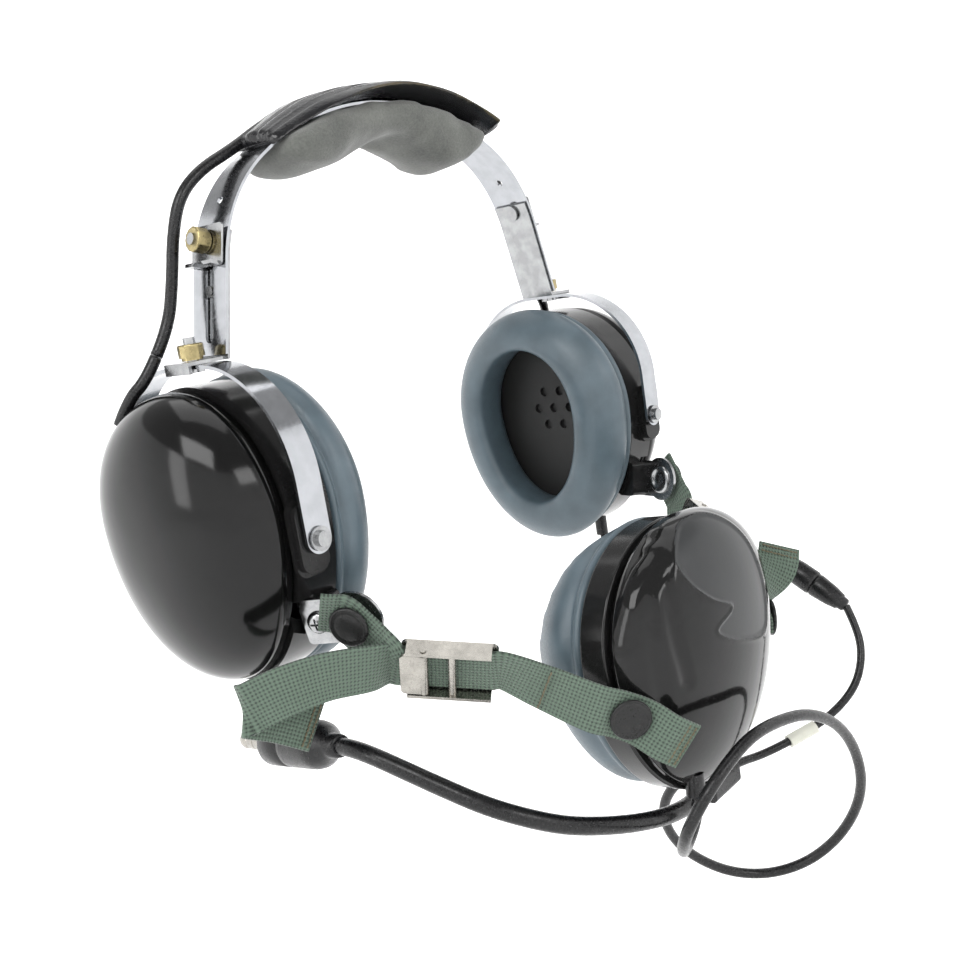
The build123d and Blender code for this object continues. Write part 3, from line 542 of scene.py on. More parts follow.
def gloss_plastic(name, base=0.006, rough=0.1, dust=0.5):
    """Moulded black plastic with fine wear and a little dust."""
    look = Look(name, (base,) * 3, rough, IOR=1.42, Specular_IOR_Level=0.36)
    cloud = look.noise(0.05, Detail=6.0, Roughness=0.6)
    fine = look.noise(1.4, Detail=4.0, Roughness=0.7)
    both = look.math("MULTIPLY", cloud, fine)
    look.colour(both, [(0.25, (base,) * 3), (0.6, (base * (1 + 1.5 * dust),) * 3)])
    look.rough(both, [(0.15, rough), (0.5, rough + 0.12 * dust)])
    specks = look.noise(2.2, Detail=2.0)
    look.bump(specks, 0.012)
    wave = look.noise(0.035, Detail=1.0)
    look.bump(wave, 0.35)
    return look.material


def metal(name, colour, rough, scratch=0.06, stretch=(1, 1, 1), tarnish=0.0):
    """Plated metal with fine scratches."""
    look = Look(name, colour, rough, Metallic=1.0)
    lines = look.noise(0.9, stretch=stretch, Detail=5.0, Roughness=0.7)
    look.rough(lines, [(0.3, max(rough - scratch, 0.03)), (0.7, rough + scratch)])
    patches = look.noise(0.18, Detail=4.0)
    dark = tuple(c * (1 - tarnish) for c in colour)
    look.colour(patches, [(0.38, dark), (0.62, colour)])
    look.bump(lines, 0.01)
    return look.material


def rubber(name, colour, rough=0.5, grain=1.5, depth=0.03, gloss=0.5):
    look = Look(name, colour, rough, Specular_IOR_Level=gloss)
    tone = look.noise(0.09, Detail=5.0)
    look.colour(tone, [(0.3, tuple(c * 0.82 for c in colour)), (0.7, tuple(c * 1.12 for c in colour))])
    fine = look.noise(grain, Detail=3.0)
    look.rough(fine, [(0.3, rough - 0.08), (0.7, rough + 0.1)])
    look.bump(fine, depth)
    return look.material


def webbing(name, dark, light):
    """Woven nylon: rows of raised yarns on UVs in millimetres."""
    look = Look(name, light, 0.75, Sheen_Weight=0.15)
    uv = look.node("ShaderNodeSeparateXYZ")
    look.link(look.coords.outputs["UV"], uv.inputs[0])
    pitch = 1.25  # of the yarns, millimetres

    def wave(axis, turns):
        return look.math("SINE", look.math("MULTIPLY", uv.outputs[axis], turns * pi / pitch))

    weave = look.math("MULTIPLY", wave(0, 2), wave(1, 2))
    ribs, slots = look.math("ABSOLUTE", wave(1, 1)), look.math("ABSOLUTE", wave(0, 1))
    crossing = look.math("MULTIPLY", look.math("MAXIMUM", ribs, slots), 0.75)
    yarn = look.math("ADD", crossing, look.math("MULTIPLY", look.math("MINIMUM", ribs, slots), 0.3))
    fuzz = look.noise(1.6, coords="UV", Detail=4.0)
    tone = look.math("ADD", look.math("MULTIPLY", yarn, 0.75), look.math("MULTIPLY", fuzz, 0.35))
    look.colour(tone, [(0.38, dark), (0.72, light), (0.95, tuple(min(c * 1.35, 1) for c in light))])
    look.bump(look.math("ADD", yarn, look.math("MULTIPLY", weave, 0.25)), 0.35)
    look.bump(fuzz, 0.08)
    return look.material


M_DOME = gloss_plastic("dome_gloss", 0.0025, 0.1, 0.4)
M_RIM = gloss_plastic("rim_gloss", 0.008, 0.13, 0.6)
M_INNER = gloss_plastic("inner_matte", 0.02, 0.5, 0.4)
M_CHROME = metal("band_chrome", (0.40, 0.41, 0.43), 0.13, 0.05, tarnish=0.1)
M_STEEL = metal("bright_steel", (0.37, 0.375, 0.38), 0.22, 0.08, tarnish=0.2)
M_NICKEL = metal("worn_nickel", (0.36, 0.345, 0.315), 0.25, 0.1, tarnish=0.2)
M_BRASS = metal("aged_brass", (0.42, 0.35, 0.18), 0.32, 0.12, tarnish=0.4)
M_SNAP = gloss_plastic("snap_enamel", 0.008, 0.25, 1.0)
M_SEAL = rubber("seal_rubber", (0.062, 0.088, 0.105), 0.4)
M_CORD = rubber("cord_rubber", (0.005, 0.005, 0.0055), 0.27, 0.7, 0.06, gloss=0.32)
M_PLUG = rubber("plug_moulding", (0.006, 0.006, 0.0065), 0.3, 1.2, 0.03, gloss=0.32)
M_SLEEVE = rubber("marker_sleeve", (0.56, 0.56, 0.49), 0.5)
M_WEB = webbing("green_webbing", (0.012, 0.021, 0.015), (0.060, 0.090, 0.065))


def cover_look():
    """Vinyl that has browned and worn along its front edge."""
    look = Look("cover_vinyl", (0.01, 0.01, 0.01), 0.2, Specular_IOR_Level=0.4)
    place = look.node("ShaderNodeSeparateXYZ")
    look.link(look.coords.outputs["Object"], place.inputs[0])
    cloud = look.noise(0.12, Detail=6.0)
    front = look.math("ADD", look.math("MULTIPLY", place.outputs[1], -330.0), -6.75)
    worn = look.math("ADD", front, look.math("MULTIPLY", cloud, 1.1))
    black, faded, browned = (0.006, 0.006, 0.007), (0.016, 0.014, 0.009), (0.045, 0.035, 0.017)
    look.colour(worn, [(0.45, black), (0.8, faded), (1.0, browned)])
    crease = look.noise(0.25, stretch=(0.35, 1, 1), Detail=5.0)
    look.rough(crease, [(0.3, 0.13), (0.7, 0.3)])
    look.bump(crease, 0.3)
    grain = look.texture("ShaderNodeTexVoronoi", 1.3).outputs["Distance"]
    look.bump(grain, 0.05)
    return look.material


def suede_look():
    look = Look("pad_suede", (0.12, 0.125, 0.12), 0.85, Sheen_Weight=0.25)
    fine = look.noise(1.1, Detail=6.0, Roughness=0.7)
    cloud = look.noise(0.07, Detail=4.0)
    tone = look.math("ADD", look.math("MULTIPLY", fine, 0.5), look.math("MULTIPLY", cloud, 0.5))
    look.colour(tone, [(0.3, (0.035, 0.037, 0.034)), (0.7, (0.12, 0.124, 0.112))])
    look.bump(fine, 0.18)
    return look.material


M_COVER = cover_look()
M_SUEDE = suede_look()

NODE_LOOKS = {
    "headband_spring": M_CHROME, "adjuster_strip": M_STEEL, "guide_clip": M_STEEL, "adjuster_studs": M_STEEL,
    "stirrup": M_CHROME, "upper_nut": M_BRASS, "lower_nut": M_BRASS, "pivot_pins": M_STEEL,
    "strap_plate": M_STEEL, "baffle_plate": M_INNER, "earphone": M_INNER, "ear_snap": M_SNAP,
    "buckle_frame": M_NICKEL, "buckle_lever": M_NICKEL, "microphone": M_INNER, "mask_snaps": M_SNAP,
    "mic_gland": M_PLUG, "ear_gland": M_PLUG, "cable_junction": M_PLUG, "connector_socket": M_PLUG,
    "connector_plug": M_PLUG, "plug_body": M_PLUG, "plug_barrel": M_NICKEL, "marker_sleeve": M_SLEEVE,
    "mask_rim": M_RIM, "rim": M_RIM,
}
for node_name, node in frame["nodes"].items():
    key = node_name.replace("right_", "").replace("left_", "")
    if key in NODE_LOOKS:
        for slot in node.material_slots:
            slot.material = NODE_LOOKS[key]


def dress(obj, material, slot):
    obj.data.materials.clear()
    obj.data.materials.append(material)
    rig.slot(obj, slot)
    return obj


def settle(obj, material, slot, body, *nodes):
    """Gives a piece its material and body, and the CAD nodes that it stands for."""
    dress(obj, material, slot)
    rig.ride(obj, body)
    if nodes:
        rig.replaces(obj, *nodes)
    return obj


# ---- camera, light and floor ----------------------------------------------------------------------
look_dir = V((0.72048, 0.66775, -0.18713)).normalized()
up_dir = V((0.24253, 0.01017, 0.97009))
right_dir = look_dir.cross(up_dir).normalized()
up_dir = right_dir.cross(look_dir)
camera_data = bpy.data.cameras.new("camera")
camera_data.sensor_width = 36
camera_data.lens = camera_data.sensor_width * 1070.6 / 960  # focal length over the frame's width
camera_data.clip_start = 0.01
camera = linked("camera", camera_data)
turn = Matrix((right_dir, up_dir, -look_dir)).transposed().to_4x4()
camera.matrix_world = Matrix.Translation((-0.303165, -0.310307, 0.072792)) @ turn
bpy.context.scene.camera = camera


def area_light(name, place, aim, size, power, tint=(1, 1, 1)):
    data = bpy.data.lights.new(name, "AREA")
    data.shape = "RECTANGLE"
    data.size, data.size_y = size
    data.energy = power
    data.color = tint
    lamp = linked(name, data)
    lamp.location = place
    lamp.rotation_euler = (V(aim) - V(place)).to_track_quat("-Z", "Y").to_euler()


world = bpy.data.worlds.new("world")
bpy.context.scene.world = world
world.use_nodes = True
world.node_tree.nodes["Background"].inputs["Color"].default_value = (1, 1, 1, 1)
world.node_tree.nodes["Background"].inputs["Strength"].default_value = 0.55
area_light("key", (-0.85, -0.25, 0.95), (0, 0, -0.05), (0.75, 0.45), 7.5)
area_light("window", (-1.3, 0.25, 0.45), (-0.1, 0, 0), (0.35, 0.8), 3.5)
area_light("front", (-0.05, -1.5, 0.95), (0, 0, -0.05), (0.9, 0.4), 6)
area_light("top", (0.3, 0.3, 1.3), (0, 0, 0), (1.1, 1.1), 6)
bpy.context.scene.view_settings.view_transform = "Standard"

floor_look = Look("floor", (0.9, 0.9, 0.9), 0.75, Emission_Color=(1, 1, 1, 1), Emission_Strength=0.4)
grain = floor_look.noise(0.02, Detail=3.0)
floor_look.colour(grain, [(0.3, (0.9, 0.9, 0.9)), (0.7, (0.905, 0.905, 0.905))])


def make_backdrop():
    """A round floor that sweeps up into a wall all the way round."""
    flat, sweep, wall = 1150, 650, 1500  # radius of the flat floor, radius of its sweep, height of the wall
    profile = [(600, 0), (flat, 0)]
    for a in range(6, 91, 6):
        profile.append((flat + sweep * sin(radians(a)), sweep - sweep * cos(radians(a))))
    profile.append((flat + sweep, wall))
    around = 72
    turns = [2 * pi * k / around for k in range(around)]
    rows = [[V((r * cos(a), r * sin(a), FLOOR_Z + h)) for a in turns] for r, h in profile]
    return grid("backdrop", rows, poles=(V((0, 0, FLOOR_Z)), None))


FLOOR_Z = -226.0  # below the free loop of cord at every pose
floor = make_backdrop()
floor.data.materials.append(floor_look.material)
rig.stage(floor)

# ---- cords ----------------------------------------------------------------------------------------
OVERHEAD_ROUTE = [
    (0, 8, 145.9), (-10, 8, 145.9), (-26, 8, 143.3), (-43, 8, 137.6), (-59, 8.5, 129), (-74, 9, 122.5),
    (-84, 10, 114), (-89, 11, 101), (-92.5, 11.5, 86), (-97.5, 11.5, 71.5), (-104, 12.2, 62.6),
]
LOWER_ROUTE = [(-104.3, 12.23, 62.2), (-109.4, 12.8, 55.2), (-115, 16.5, 50), (-117.8, 20.8, 42)]
MAIN_ROUTE = [
    (-95, -29.5, -75.5), (-96, -38, -73.7), (-95.5, -49, -74.5), (-92.5, -61, -79), (-88, -74, -85),
    (-83, -87, -91), (-75, -97, -97), (-65, -104, -103), (-51, -109, -109), (-36, -112.5, -114.5),
    (-20, -113.5, -119.5), (-5, -112, -123), (5, -110.5, -123.5),
]
MIC_ROUTE = [
    (-17, -122, -111.5), (-17, -121.5, -117.5), (-20, -121, -123), (-26.5, -122, -125.5),
    (-34.5, -125.5, -123), (-42, -130.5, -116.5), (-47, -135.5, -108.5), (-47.5, -139.5, -101),
    (-43.5, -142.5, -94.5), (-35, -145, -88.5), (-21, -146.5, -84.5), (-4, -147.5, -86),
    (15.5, -149, -91), (35, -149.5, -102.5), (51, -148.5, -119), (61.5, -146, -138.5),
    (67.5, -139.5, -156.5), (68, -129.5, -172.5), (63.5, -117.5, -183.5), (56, -104.5, -188),
    (45.5, -94, -184.5), (35.5, -86.5, -176), (26, -82, -164.5), (19, -81.5, -151.5),
    (15, -85, -139.5), (14, -92, -129.5), (14, -99, -125), (14, -105, -123.5),
]
LEAD_ROUTE = [
    (99, -129, -83), (96, -134.5, -92), (90.5, -137.5, -101), (84, -137, -110), (76, -133, -117),
    (66, -127, -122), (54, -120, -125), (42, -114.5, -126), (32, -111.5, -124.5), (23, -110.5, -123.5),
]
EAR_LEAD_ROUTE = [
    (98, -12, -57), (98, -13, -64), (98, -20, -72), (98.5, -32, -77), (99, -48, -78.5),
    (99.3, -64, -76), (99.5, -79, -71.5), (99.5, -92, -67), (99.5, -102.4, -65.6),
]

nodes = frame["nodes"]


def line_length(points):
    return sum((b - a).length for a, b in zip(points, points[1:]))


def declare(cord, points, diameter, far_end, stiffness, lay, pieces=(), path=False):
    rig.cord(cord, exit=tuple(points[0] * 0.001), length=line_length(points) * 0.001, diameter=diameter * 0.001,
            far_end=far_end, stiffness=stiffness, lay=lay, path=[tuple(p * 0.001) for p in points] if path else None,
            with_pieces=list(pieces))


def free_cord(name, route, diameter, far_end, stiffness, pieces):
    cord = cord_curve(name + "_cord", route, diameter)
    settle(cord, M_CORD, "cord_black", "mask", name)
    declare(cord, spline_points(route), diameter, far_end, stiffness, "hanging", pieces)


free_cord("mic_lead", MIC_ROUTE, 4.0, "connector", "limp", [nodes["cable_junction"]])
free_cord("main_cable", list(reversed(MAIN_ROUTE)), 6.0, "plug", "medium",
          [nodes["plug_body"], nodes["plug_barrel"]])



def crossing_tube(name, points, radius, sides, node, bodies, start=0):
    """A cord between two bodies, turning with both from its start point to its end."""
    tube = tube_mesh(name, points, radius, sides)
    dress(tube, M_CORD, "cord_black")
    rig.replaces(tube, node)
    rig.blend(tube, *bodies, points[start] * 0.001, points[-1] * 0.001)
    return tube


# the left ear's lead, in two parts that meet where its bodies change
ear_line = spline_points(EAR_LEAD_ROUTE)
ear_middle = min(range(len(ear_line)), key=lambda i: abs(ear_line[i].y + 50))
ear_near, ear_far = ear_line[: ear_middle + 1], ear_line[ear_middle:]
lead_far = crossing_tube("ear_lead_far", ear_far, 1.25, 16, "ear_lead", ("left_adjuster", "left_webbing"))
lead_near = crossing_tube("ear_lead_near", ear_near, 1.25, 16, "ear_lead", ("left_ear", "left_adjuster"))

# ---- ears -----------------------------------------------------------------------------------------
EGG_Z = 6.2


def egg_row(x, half, up, down, lift=0.0, n=144):
    return [V((x, -p[0], EGG_Z + lift + p[1])) for p in egg_points(half, up, down, n)]


def make_dome():
    rows = [egg_row(-104.2, 40.5, 41.7, 54.5)]
    for off, depth in ((-1.5, 0.2), (-1.5, 1.0), (-1.1, 1.35), (-0.35, 1.5)):
        rows.append(egg_row(-104 - depth, 42.9 + off, 44.1 + off, 56.9 + off))
    steps = 40
    for i in range(1, steps):
        a = radians(6 + 84 * i / steps)
        share, k = sin(a) ** (2 / 2.4), cos(a) ** (2 / 2.4)
        rows.append(egg_row(-(104 + 28.7 * share), 42.9 * k, 44.1 * k, 56.9 * k, 3.6 * share))
    return grid("right_dome_shell", rows, poles=(None, V((-132.7, 0, EGG_Z + 3.6))), caps=(True, False))


def make_seal():
    """Ear cushion: a lip, a groove, a second lip and a full roll round the opening."""
    profile = [
        (87.9, 0, -0.5), (86.9, 0, 1.0), (85.9, 0, 1.4), (84.9, 0, 0.6), (84.3, 0, -0.4), (83.6, 0, 0.5),
        (82.2, 0, 1.9), (80, 0, 2.6), (77.5, 0, 2.6), (75, 0, 1.6), (72.5, 0, -0.4), (70.3, 0, -2.6),
        (68.3, 0, -5.0), (67.0, 0, -7.6), (66.2, 0.1, -8.2), (66.0, 0.3, -7.2), (66.2, 0.5, -5.4),
        (67.0, 0.75, -3.0), (68.8, 0.93, -1.0), (72, 1, 0), (80, 1, 0.6), (87.9, 1, 0.8),
    ]
    outer = egg_points(43.5, 44.8, 57, 144)
    inner = egg_points(26, 30, 40, 144)
    rows = []
    for x, share, off in profile:
        row = []
        for p, q in zip(outer, inner):
            y = p[0] + (q[0] - p[0]) * share
            z = p[1] + (q[1] - p[1]) * share
            size = (y * y + z * z) ** 0.5
            row.append(V((-x, -y * (1 + off / size), EGG_Z + z * (1 + off / size))))
        rows.append(row)
    seal = grid("right_ear_cushion", rows, loop=True)
    modify(seal, "SUBSURF", levels=1, render_levels=1)
    return seal


dome = make_dome()
seal = make_seal()
left_pair = (mirror_copy(dome, "left_dome_shell"), mirror_copy(seal, "left_ear_cushion"))
ear_pieces = {"right": (dome, seal), "left": left_pair}
for side, (shell, cushion) in ear_pieces.items():
    settle(shell, M_DOME, "dome_black", f"{side}_ear", f"{side}_dome")
    settle(cushion, M_SEAL, "seal_grey", f"{side}_ear", f"{side}_ear_seal")
    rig.padded(cushion, 0.8)

# ---- headband cover and pad -----------------------------------------------------------------------
KNEE = radians(57)
knee_x, knee_z = -30.6 - 54.9 * cos(KNEE), 78.4 + 54.9 * sin(KNEE)
CROWN_RADIUS = -knee_x / cos(KNEE)
CROWN_Z = knee_z - CROWN_RADIUS * sin(KNEE)


def crown(angle, off, y):
    r = CROWN_RADIUS + off
    return V((-r * cos(angle), y, CROWN_Z + r * sin(angle)))


COVER_ROLLS = ((1, -0.72, 0.07), (0.8, -0.52, 0.08), (0.9, -0.2, 0.1), (0.9, 0.42, 0.1))  # depth, place, width
PAD_UNDERSIDE = [
    (-53.6, 0, 124.0), (-48, 0, 119.6), (-42, 0, 117.2), (-30, 0, 120.2), (-18, 0, 125.6), (-7, 0, 129.6),
    (0, 0, 130), (7, 0, 128.8), (17, 0, 123.5), (26, 0, 118.6), (34, 0, 116.0), (43, 0, 120), (51.5, 0, 126.5),
]


def make_cover():
    """Padded vinyl with thin edges, rolls along it, and a front corner that stands out on the left."""
    rows = []
    steps, columns = 110, 44
    for i in range(steps + 1):
        t = i / steps
        angle = radians(60 + 60 * t)
        from_end = min(t, 1 - t) * 2
        end = max(1 - (1 - min(from_end / 0.06, 1)) ** 2, 0) ** 0.5
        tip = end if t < 0.5 else smoothstep(0, 0.03, 1 - t)
        front = (12.2 + 9.6 * smoothstep(0, 0.4, t)) * (0.8 + 0.2 * tip)
        rear = (12.2 + 8.8 * smoothstep(0, 0.42, from_end)) * (0.8 + 0.2 * end)
        thick = 1.2 + (3.6 + 1.6 * smoothstep(0.05, 0.5, from_end)) * end
        lift = -0.6 + 4.2 * smoothstep(0.05, 0.6, t)
        row = []
        top = []
        for j in range(columns + 1):
            s = sin((-1 + 2 * j / columns) * pi / 2)
            half = front if s < 0 else rear
            edge = (lift if s < 0 else 0.6) * abs(s) ** 3
            rolls = sum(deep * bump(s, place, wide) for deep, place, wide in COVER_ROLLS)
            rolls *= 0.3 + 0.7 * smoothstep(0.75, 0.15, t)
            body = 1.3 + (thick - 1.3) * (1 - abs(s) ** 2.6)
            ripple = 0.3 * noise.noise(V((angle * 7, s * 1.3, 3)))
            top.append((half * s, edge + body * (1 - abs(s) ** 14) ** 0.5 * (1 - 0.22 * rolls) + ripple))
            row.append(crown(angle, 0.3 + top[-1][1], top[-1][0]))
        for j in range(columns - 1, 0, -1):
            s = sin((-1 + 2 * j / columns) * pi / 2)
            half = (front if s < 0 else rear) - 0.3
            edge = (lift if s < 0 else 0.6) * abs(s) ** 3
            row.append(crown(angle, 0.15 + edge * 0.97, half * s))
        rows.append(row)
    return grid("headband_cover_vinyl", rows, caps=(True, True))


def make_pad():
    """Suede-faced pad with a full lobe each side of its middle and one sewn seam across."""
    under = catmull([V(p) for p in PAD_UNDERSIDE], 8)
    rows = []
    across = 20
    for p in under:
        roof = CROWN_Z + ((CROWN_RADIUS - 1.3) ** 2 - p.x ** 2) ** 0.5
        depth = roof - p.z
        end = min(1.0, (54.0 - abs(p.x)) / 9)
        half = 18.6 - 4.5 * (1 - end) ** 2
        row = []
        for j in range(across + 1):
            s = -1 + 2 * j / across
            row.append(V((p.x, half * s, roof - 0.2 * abs(s))))
        for j in range(across, -1, -1):
            s = -1 + 2 * j / across
            belly = (1 - abs(s) ** 3.2) ** 0.55 * 0.93 + 0.07
            row.append(V((p.x, (half + 0.9) * sin(s * pi / 2), roof - max(depth * belly, 0.4))))
        rows.append(row)
    return grid("headband_pad_suede", rows, caps=(True, True))


def inflate(obj, voxel, pressure, cap):
    """Swells a closed mesh under pressure as cloth, each point moving no further than a cap."""
    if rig.quick():
        return obj
    modify(obj, "REMESH", mode="VOXEL", voxel_size=voxel * 0.001)
    base = [v.co.copy() for v in obj.data.vertices]
    cloth = obj.modifiers.new("cloth", "CLOTH")
    cloth.settings.use_pressure = True
    cloth.settings.uniform_pressure_force = pressure
    cloth.settings.effector_weights.gravity = 0
    cloth.point_cache.frame_start, cloth.point_cache.frame_end = 1, 20
    scene = bpy.context.scene
    for number in range(1, 21):
        scene.frame_set(number)
    mesh = bpy.data.meshes.new_from_object(obj.evaluated_get(bpy.context.evaluated_depsgraph_get()))
    obj.modifiers.clear()
    obj.data = mesh
    scene.frame_set(1)
    for vertex, start in zip(mesh.vertices, base):
        move = vertex.co - start
        if move.length > cap * 0.001:
            vertex.co = start + move.normalized() * (cap * 0.001)
    return obj


def roughen(obj, size, depth, seed):
    """Small rises and hollows over a finished soft piece; size and depth are millimetres."""
    normals = [v.normal.copy() for v in obj.data.vertices]
    for vertex, normal in zip(obj.data.vertices, normals):
        place = vertex.co * (1000 / size) + V((seed, 0, 0))
        vertex.co += normal * (noise.noise(place) * depth * 0.001)
    obj.data.update()


cover = make_cover()
settle(cover, M_COVER, "cover_vinyl", "headband", "headband_cover")
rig.padded(cover, 0.5)
pad = make_pad()
inflate(pad, 4, 4.0, 2.5)
modify(pad, "SUBSURF", levels=1, render_levels=1)
roughen(pad, 14, 1.3, 5)
for polygon in pad.data.polygons:
    polygon.use_smooth = True
settle(pad, M_SUEDE, "pad_suede", "headband", "headband_pad")
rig.padded(pad, 0.6)

# ---- overhead cable -------------------------------------------------------------------------------
upper_line, lower_line = spline_points(OVERHEAD_ROUTE), spline_points(LOWER_ROUTE)
for side, sign in SIDES:
    line = [V((-sign * p.x, p.y, p.z)) for p in upper_line]
    low = [V((-sign * p.x, p.y, p.z)) for p in lower_line]
    lower = crossing_tube(f"{side}_overhead_lower", low, 2.1, 20, f"{side}_overhead_cable_lower",
                          (f"{side}_adjuster", f"{side}_ear"))
    anchor = min(range(len(line)), key=lambda i: abs(line[i].z - 112))
    upper = crossing_tube(f"{side}_overhead_upper", line, 2.1, 20, f"{side}_overhead_cable_upper",
                          ("headband", f"{side}_adjuster"), anchor)
    declare(upper, line, 4.2, "object", "medium", "taut", [lower], path=True)

# ---- mouth muff -----------------------------------------------------------------------------------
LEAN = radians(5.9)
MUFF = plane((0, -114, -60), (0, -cos(LEAN), sin(LEAN)), (1, 0, 0))


def muff_point(across, up, out):
    o, x, y, z = MUFF
    return o + x * across + y * up + z * out


def muff_row(out, half, up, down, lift=0.0, n=144):
    return [muff_point(p[0], p[1] + lift, out) for p in egg_points(half, up, down, n)]


PANEL = [
    (-17, 37.5), (-9, 41.5), (3, 41.5), (12, 36), (19, 27.5), (22.5, 16.5), (24, 6), (21, -4.5),
    (11, -5.5), (-6, 0), (-14, 6), (-4, 10.5), (-13, 16), (-20, 23), (-22, 31),
]
FLUTES = (((-17, 41), (-27, 30), (-31, 12), (-29, -6)), ((-24, 37), (-34, 24), (-38, 8), (-37, -10)))


def line_gap(point, line, closed):
    """Distance from a point to a drawn line, and whether the point is inside it."""
    best, inside = 1e9, False
    ends = list(zip(line, line[1:] + line[:1] if closed else line[1:]))
    for a, b in ends:
        d = b - a
        share = min(max((point - a).dot(d) / d.length_squared, 0), 1)
        best = min(best, (point - a - d * share).length)
        if (a.y > point.y) != (b.y > point.y) and point.x < a.x + (point.y - a.y) * d.x / d.y:
            inside = not inside
    return best, inside and closed


def make_shell():
    """Bulb with a shallow dull panel at its top and two flutes that flow down beside it."""
    rows = [muff_row(-0.6, 41.5, 36.5, 50.3, n=168)]
    for off, depth in ((-1.8, -0.6), (-1.8, 0.5), (-1.3, 0.95), (-0.4, 1.15)):
        rows.append(muff_row(depth, 45 + off, 40 + off, 53.8 + off, n=168))
    steps = 100
    for i in range(1, steps):
        a = radians(4 + 86 * i / steps)
        share, k = sin(a) ** (2 / 2.1), cos(a) ** (2 / 2.1)
        rows.append(muff_row(24 * share, 45 * k, 40 * k, 53.8 * k, 15.3 * share, n=168))
    obj = grid("mask_front", rows, poles=(None, muff_point(0, 15.3, 24)), caps=(True, False))
    o, x, y, z = MUFF
    panel = catmull([V(p) for p in PANEL + PANEL[:1]], 4)[:-1]
    flutes = [catmull([V(p) for p in line], 4) for line in FLUTES]
    tint = obj.data.attributes.new("panel", "FLOAT", "POINT")
    normals = [v.normal.copy() for v in obj.data.vertices]
    for vertex, normal in zip(obj.data.vertices, normals):
        place = vertex.co * 1000 - o
        at = V((place.dot(x), place.dot(y)))
        if place.dot(z) < 4 or not (-45 < at.x < 28 and at.y > -16):
            continue
        gap, inside = line_gap(at, panel, True)
        sunk = 0.45 * smoothstep(-0.2, 0.9, gap if inside else -gap)
        ridge = 0.3 * bump(gap, 0, 1.3)
        for line in flutes:
            near = line_gap(at, line, False)[0]
            sunk += 1.1 * bump(near, 0, 3.4)
        tint.data[vertex.index].value = 1.0 if inside else 0.0
        vertex.co += normal * ((ridge - sunk) * 0.001)
    return obj


def make_face_seal():
    profile = [
        (11.0, 0, -0.6), (12.0, 0, 1.2), (13.4, 0, 1.9), (14.6, 0, 1.0), (15.6, 0, 0.1), (17, 0, 0.9),
        (19.5, 0, 1.6), (23, 0, 1.3), (27, 0, -0.5), (31, 0, -3.4), (35, 0, -6.6), (38.5, 0, -9.6),
        (40.6, 0.12, -10.6), (41.2, 0.3, -9.6), (40.8, 0.5, -7.6), (39, 0.8, -4.0), (36, 1, -1.0), (28, 1, 0),
        (18, 1, 0.5), (11.0, 1, 0.8),
    ]
    outer, inner = egg_points(43.5, 39.5, 52.5, 144), egg_points(28, 26, 38, 144)
    rows = []
    for back, share, off in profile:
        row = []
        for p, q in zip(outer, inner):
            x = p[0] + (q[0] - p[0]) * share
            y = p[1] + (q[1] - p[1]) * share
            size = (x * x + y * y) ** 0.5
            point = muff_point(x * (1 + off / size), y * (1 + off / size), -back)
            # hollowed to a face
            if abs(point.x) < 36.4:
                limit = -58.6 - (36.4**2 - point.x**2) ** 0.5
                point.y = min(point.y, limit)
            row.append(point)
        rows.append(row)
    piece = grid("mask_face_cushion", rows, loop=True)
    modify(piece, "SUBSURF", levels=1, render_levels=1)
    return piece


panel_look = Look("shell_and_panel", (0.006, 0.006, 0.006), 0.09, IOR=1.42, Specular_IOR_Level=0.36)
inside_panel = panel_look.node("ShaderNodeAttribute", attribute_name="panel").outputs["Fac"]
panel_grain = panel_look.noise(0.6, Detail=5.0)
panel_tone = panel_look.math("ADD", inside_panel, panel_look.math("MULTIPLY", panel_grain, 0.25))
panel_look.colour(panel_tone, [(0.15, (0.006, 0.006, 0.006)), (1.0, (0.028, 0.029, 0.03))])
panel_look.rough(panel_tone, [(0.15, 0.08), (1.0, 0.36)])
panel_look.bump(panel_grain, 0.02)
shell = settle(make_shell(), panel_look.material, "dome_black", "mask", "mask_shell")
face_seal = settle(make_face_seal(), M_SEAL, "seal_grey", "mask", "mask_seal")
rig.padded(face_seal, 0.8)

# ---- straps ---------------------------------------------------------------------------------------
SCREW = V((-97, -39, -29))
PLATE_N = V((-0.932, -0.331, -0.15)).normalized()
PLATE_U = V((0.326, -0.944, 0.053)).normalized()
SNAP = SCREW + PLATE_U * 14
ALONG = V((0.541, -0.715, -0.443)).normalized()
UP = V((0.267, -0.353, 0.897)).normalized()
OUT = V((-0.798, -0.603, 0.0)).normalized()
MUFF_SNAP = V((-44.5, -117.5, -70.0))
MUFF_N = V((-0.65, -0.75, -0.1)).normalized()


def strap_point(along, up):
    return V((-98, -54.2, -29.2)) + ALONG * along + UP * up - OUT * 2.1


def across(direction, normal):
    return (direction - normal * direction.dot(normal)).normalized()


buckle_low, buckle_high = strap_point(20, -7.5), strap_point(49, 0.5)
ear_centre = SNAP + PLATE_N * 3.65
ear_dir = across(buckle_low - ear_centre, PLATE_N)
muff_centre = MUFF_SNAP + MUFF_N * 3.6
muff_dir = across(muff_centre - buckle_high, MUFF_N)
hem = strap_point(114, -4)
buckle_dir = (buckle_high - buckle_low).normalized()
BUCKLE_N = across(V((-0.836, -0.397, -0.379)), buckle_dir)


def flip(p, sign):
    return V((-sign * p.x, p.y, p.z))


def make_strap(name, path, widths, sign, **sizes):
    strap = ribbon(name, [flip(V(p), sign) for p in path], [flip(V(w), sign) for w in widths], **sizes)
    dress(strap, M_WEB, "webbing_green")
    return strap


M_THREAD = rubber("hem_thread", (0.10, 0.085, 0.05), 0.7)


STITCH_ROW, STITCH_RISE, THREAD_RADIUS = 14.5, 0.35, 0.3


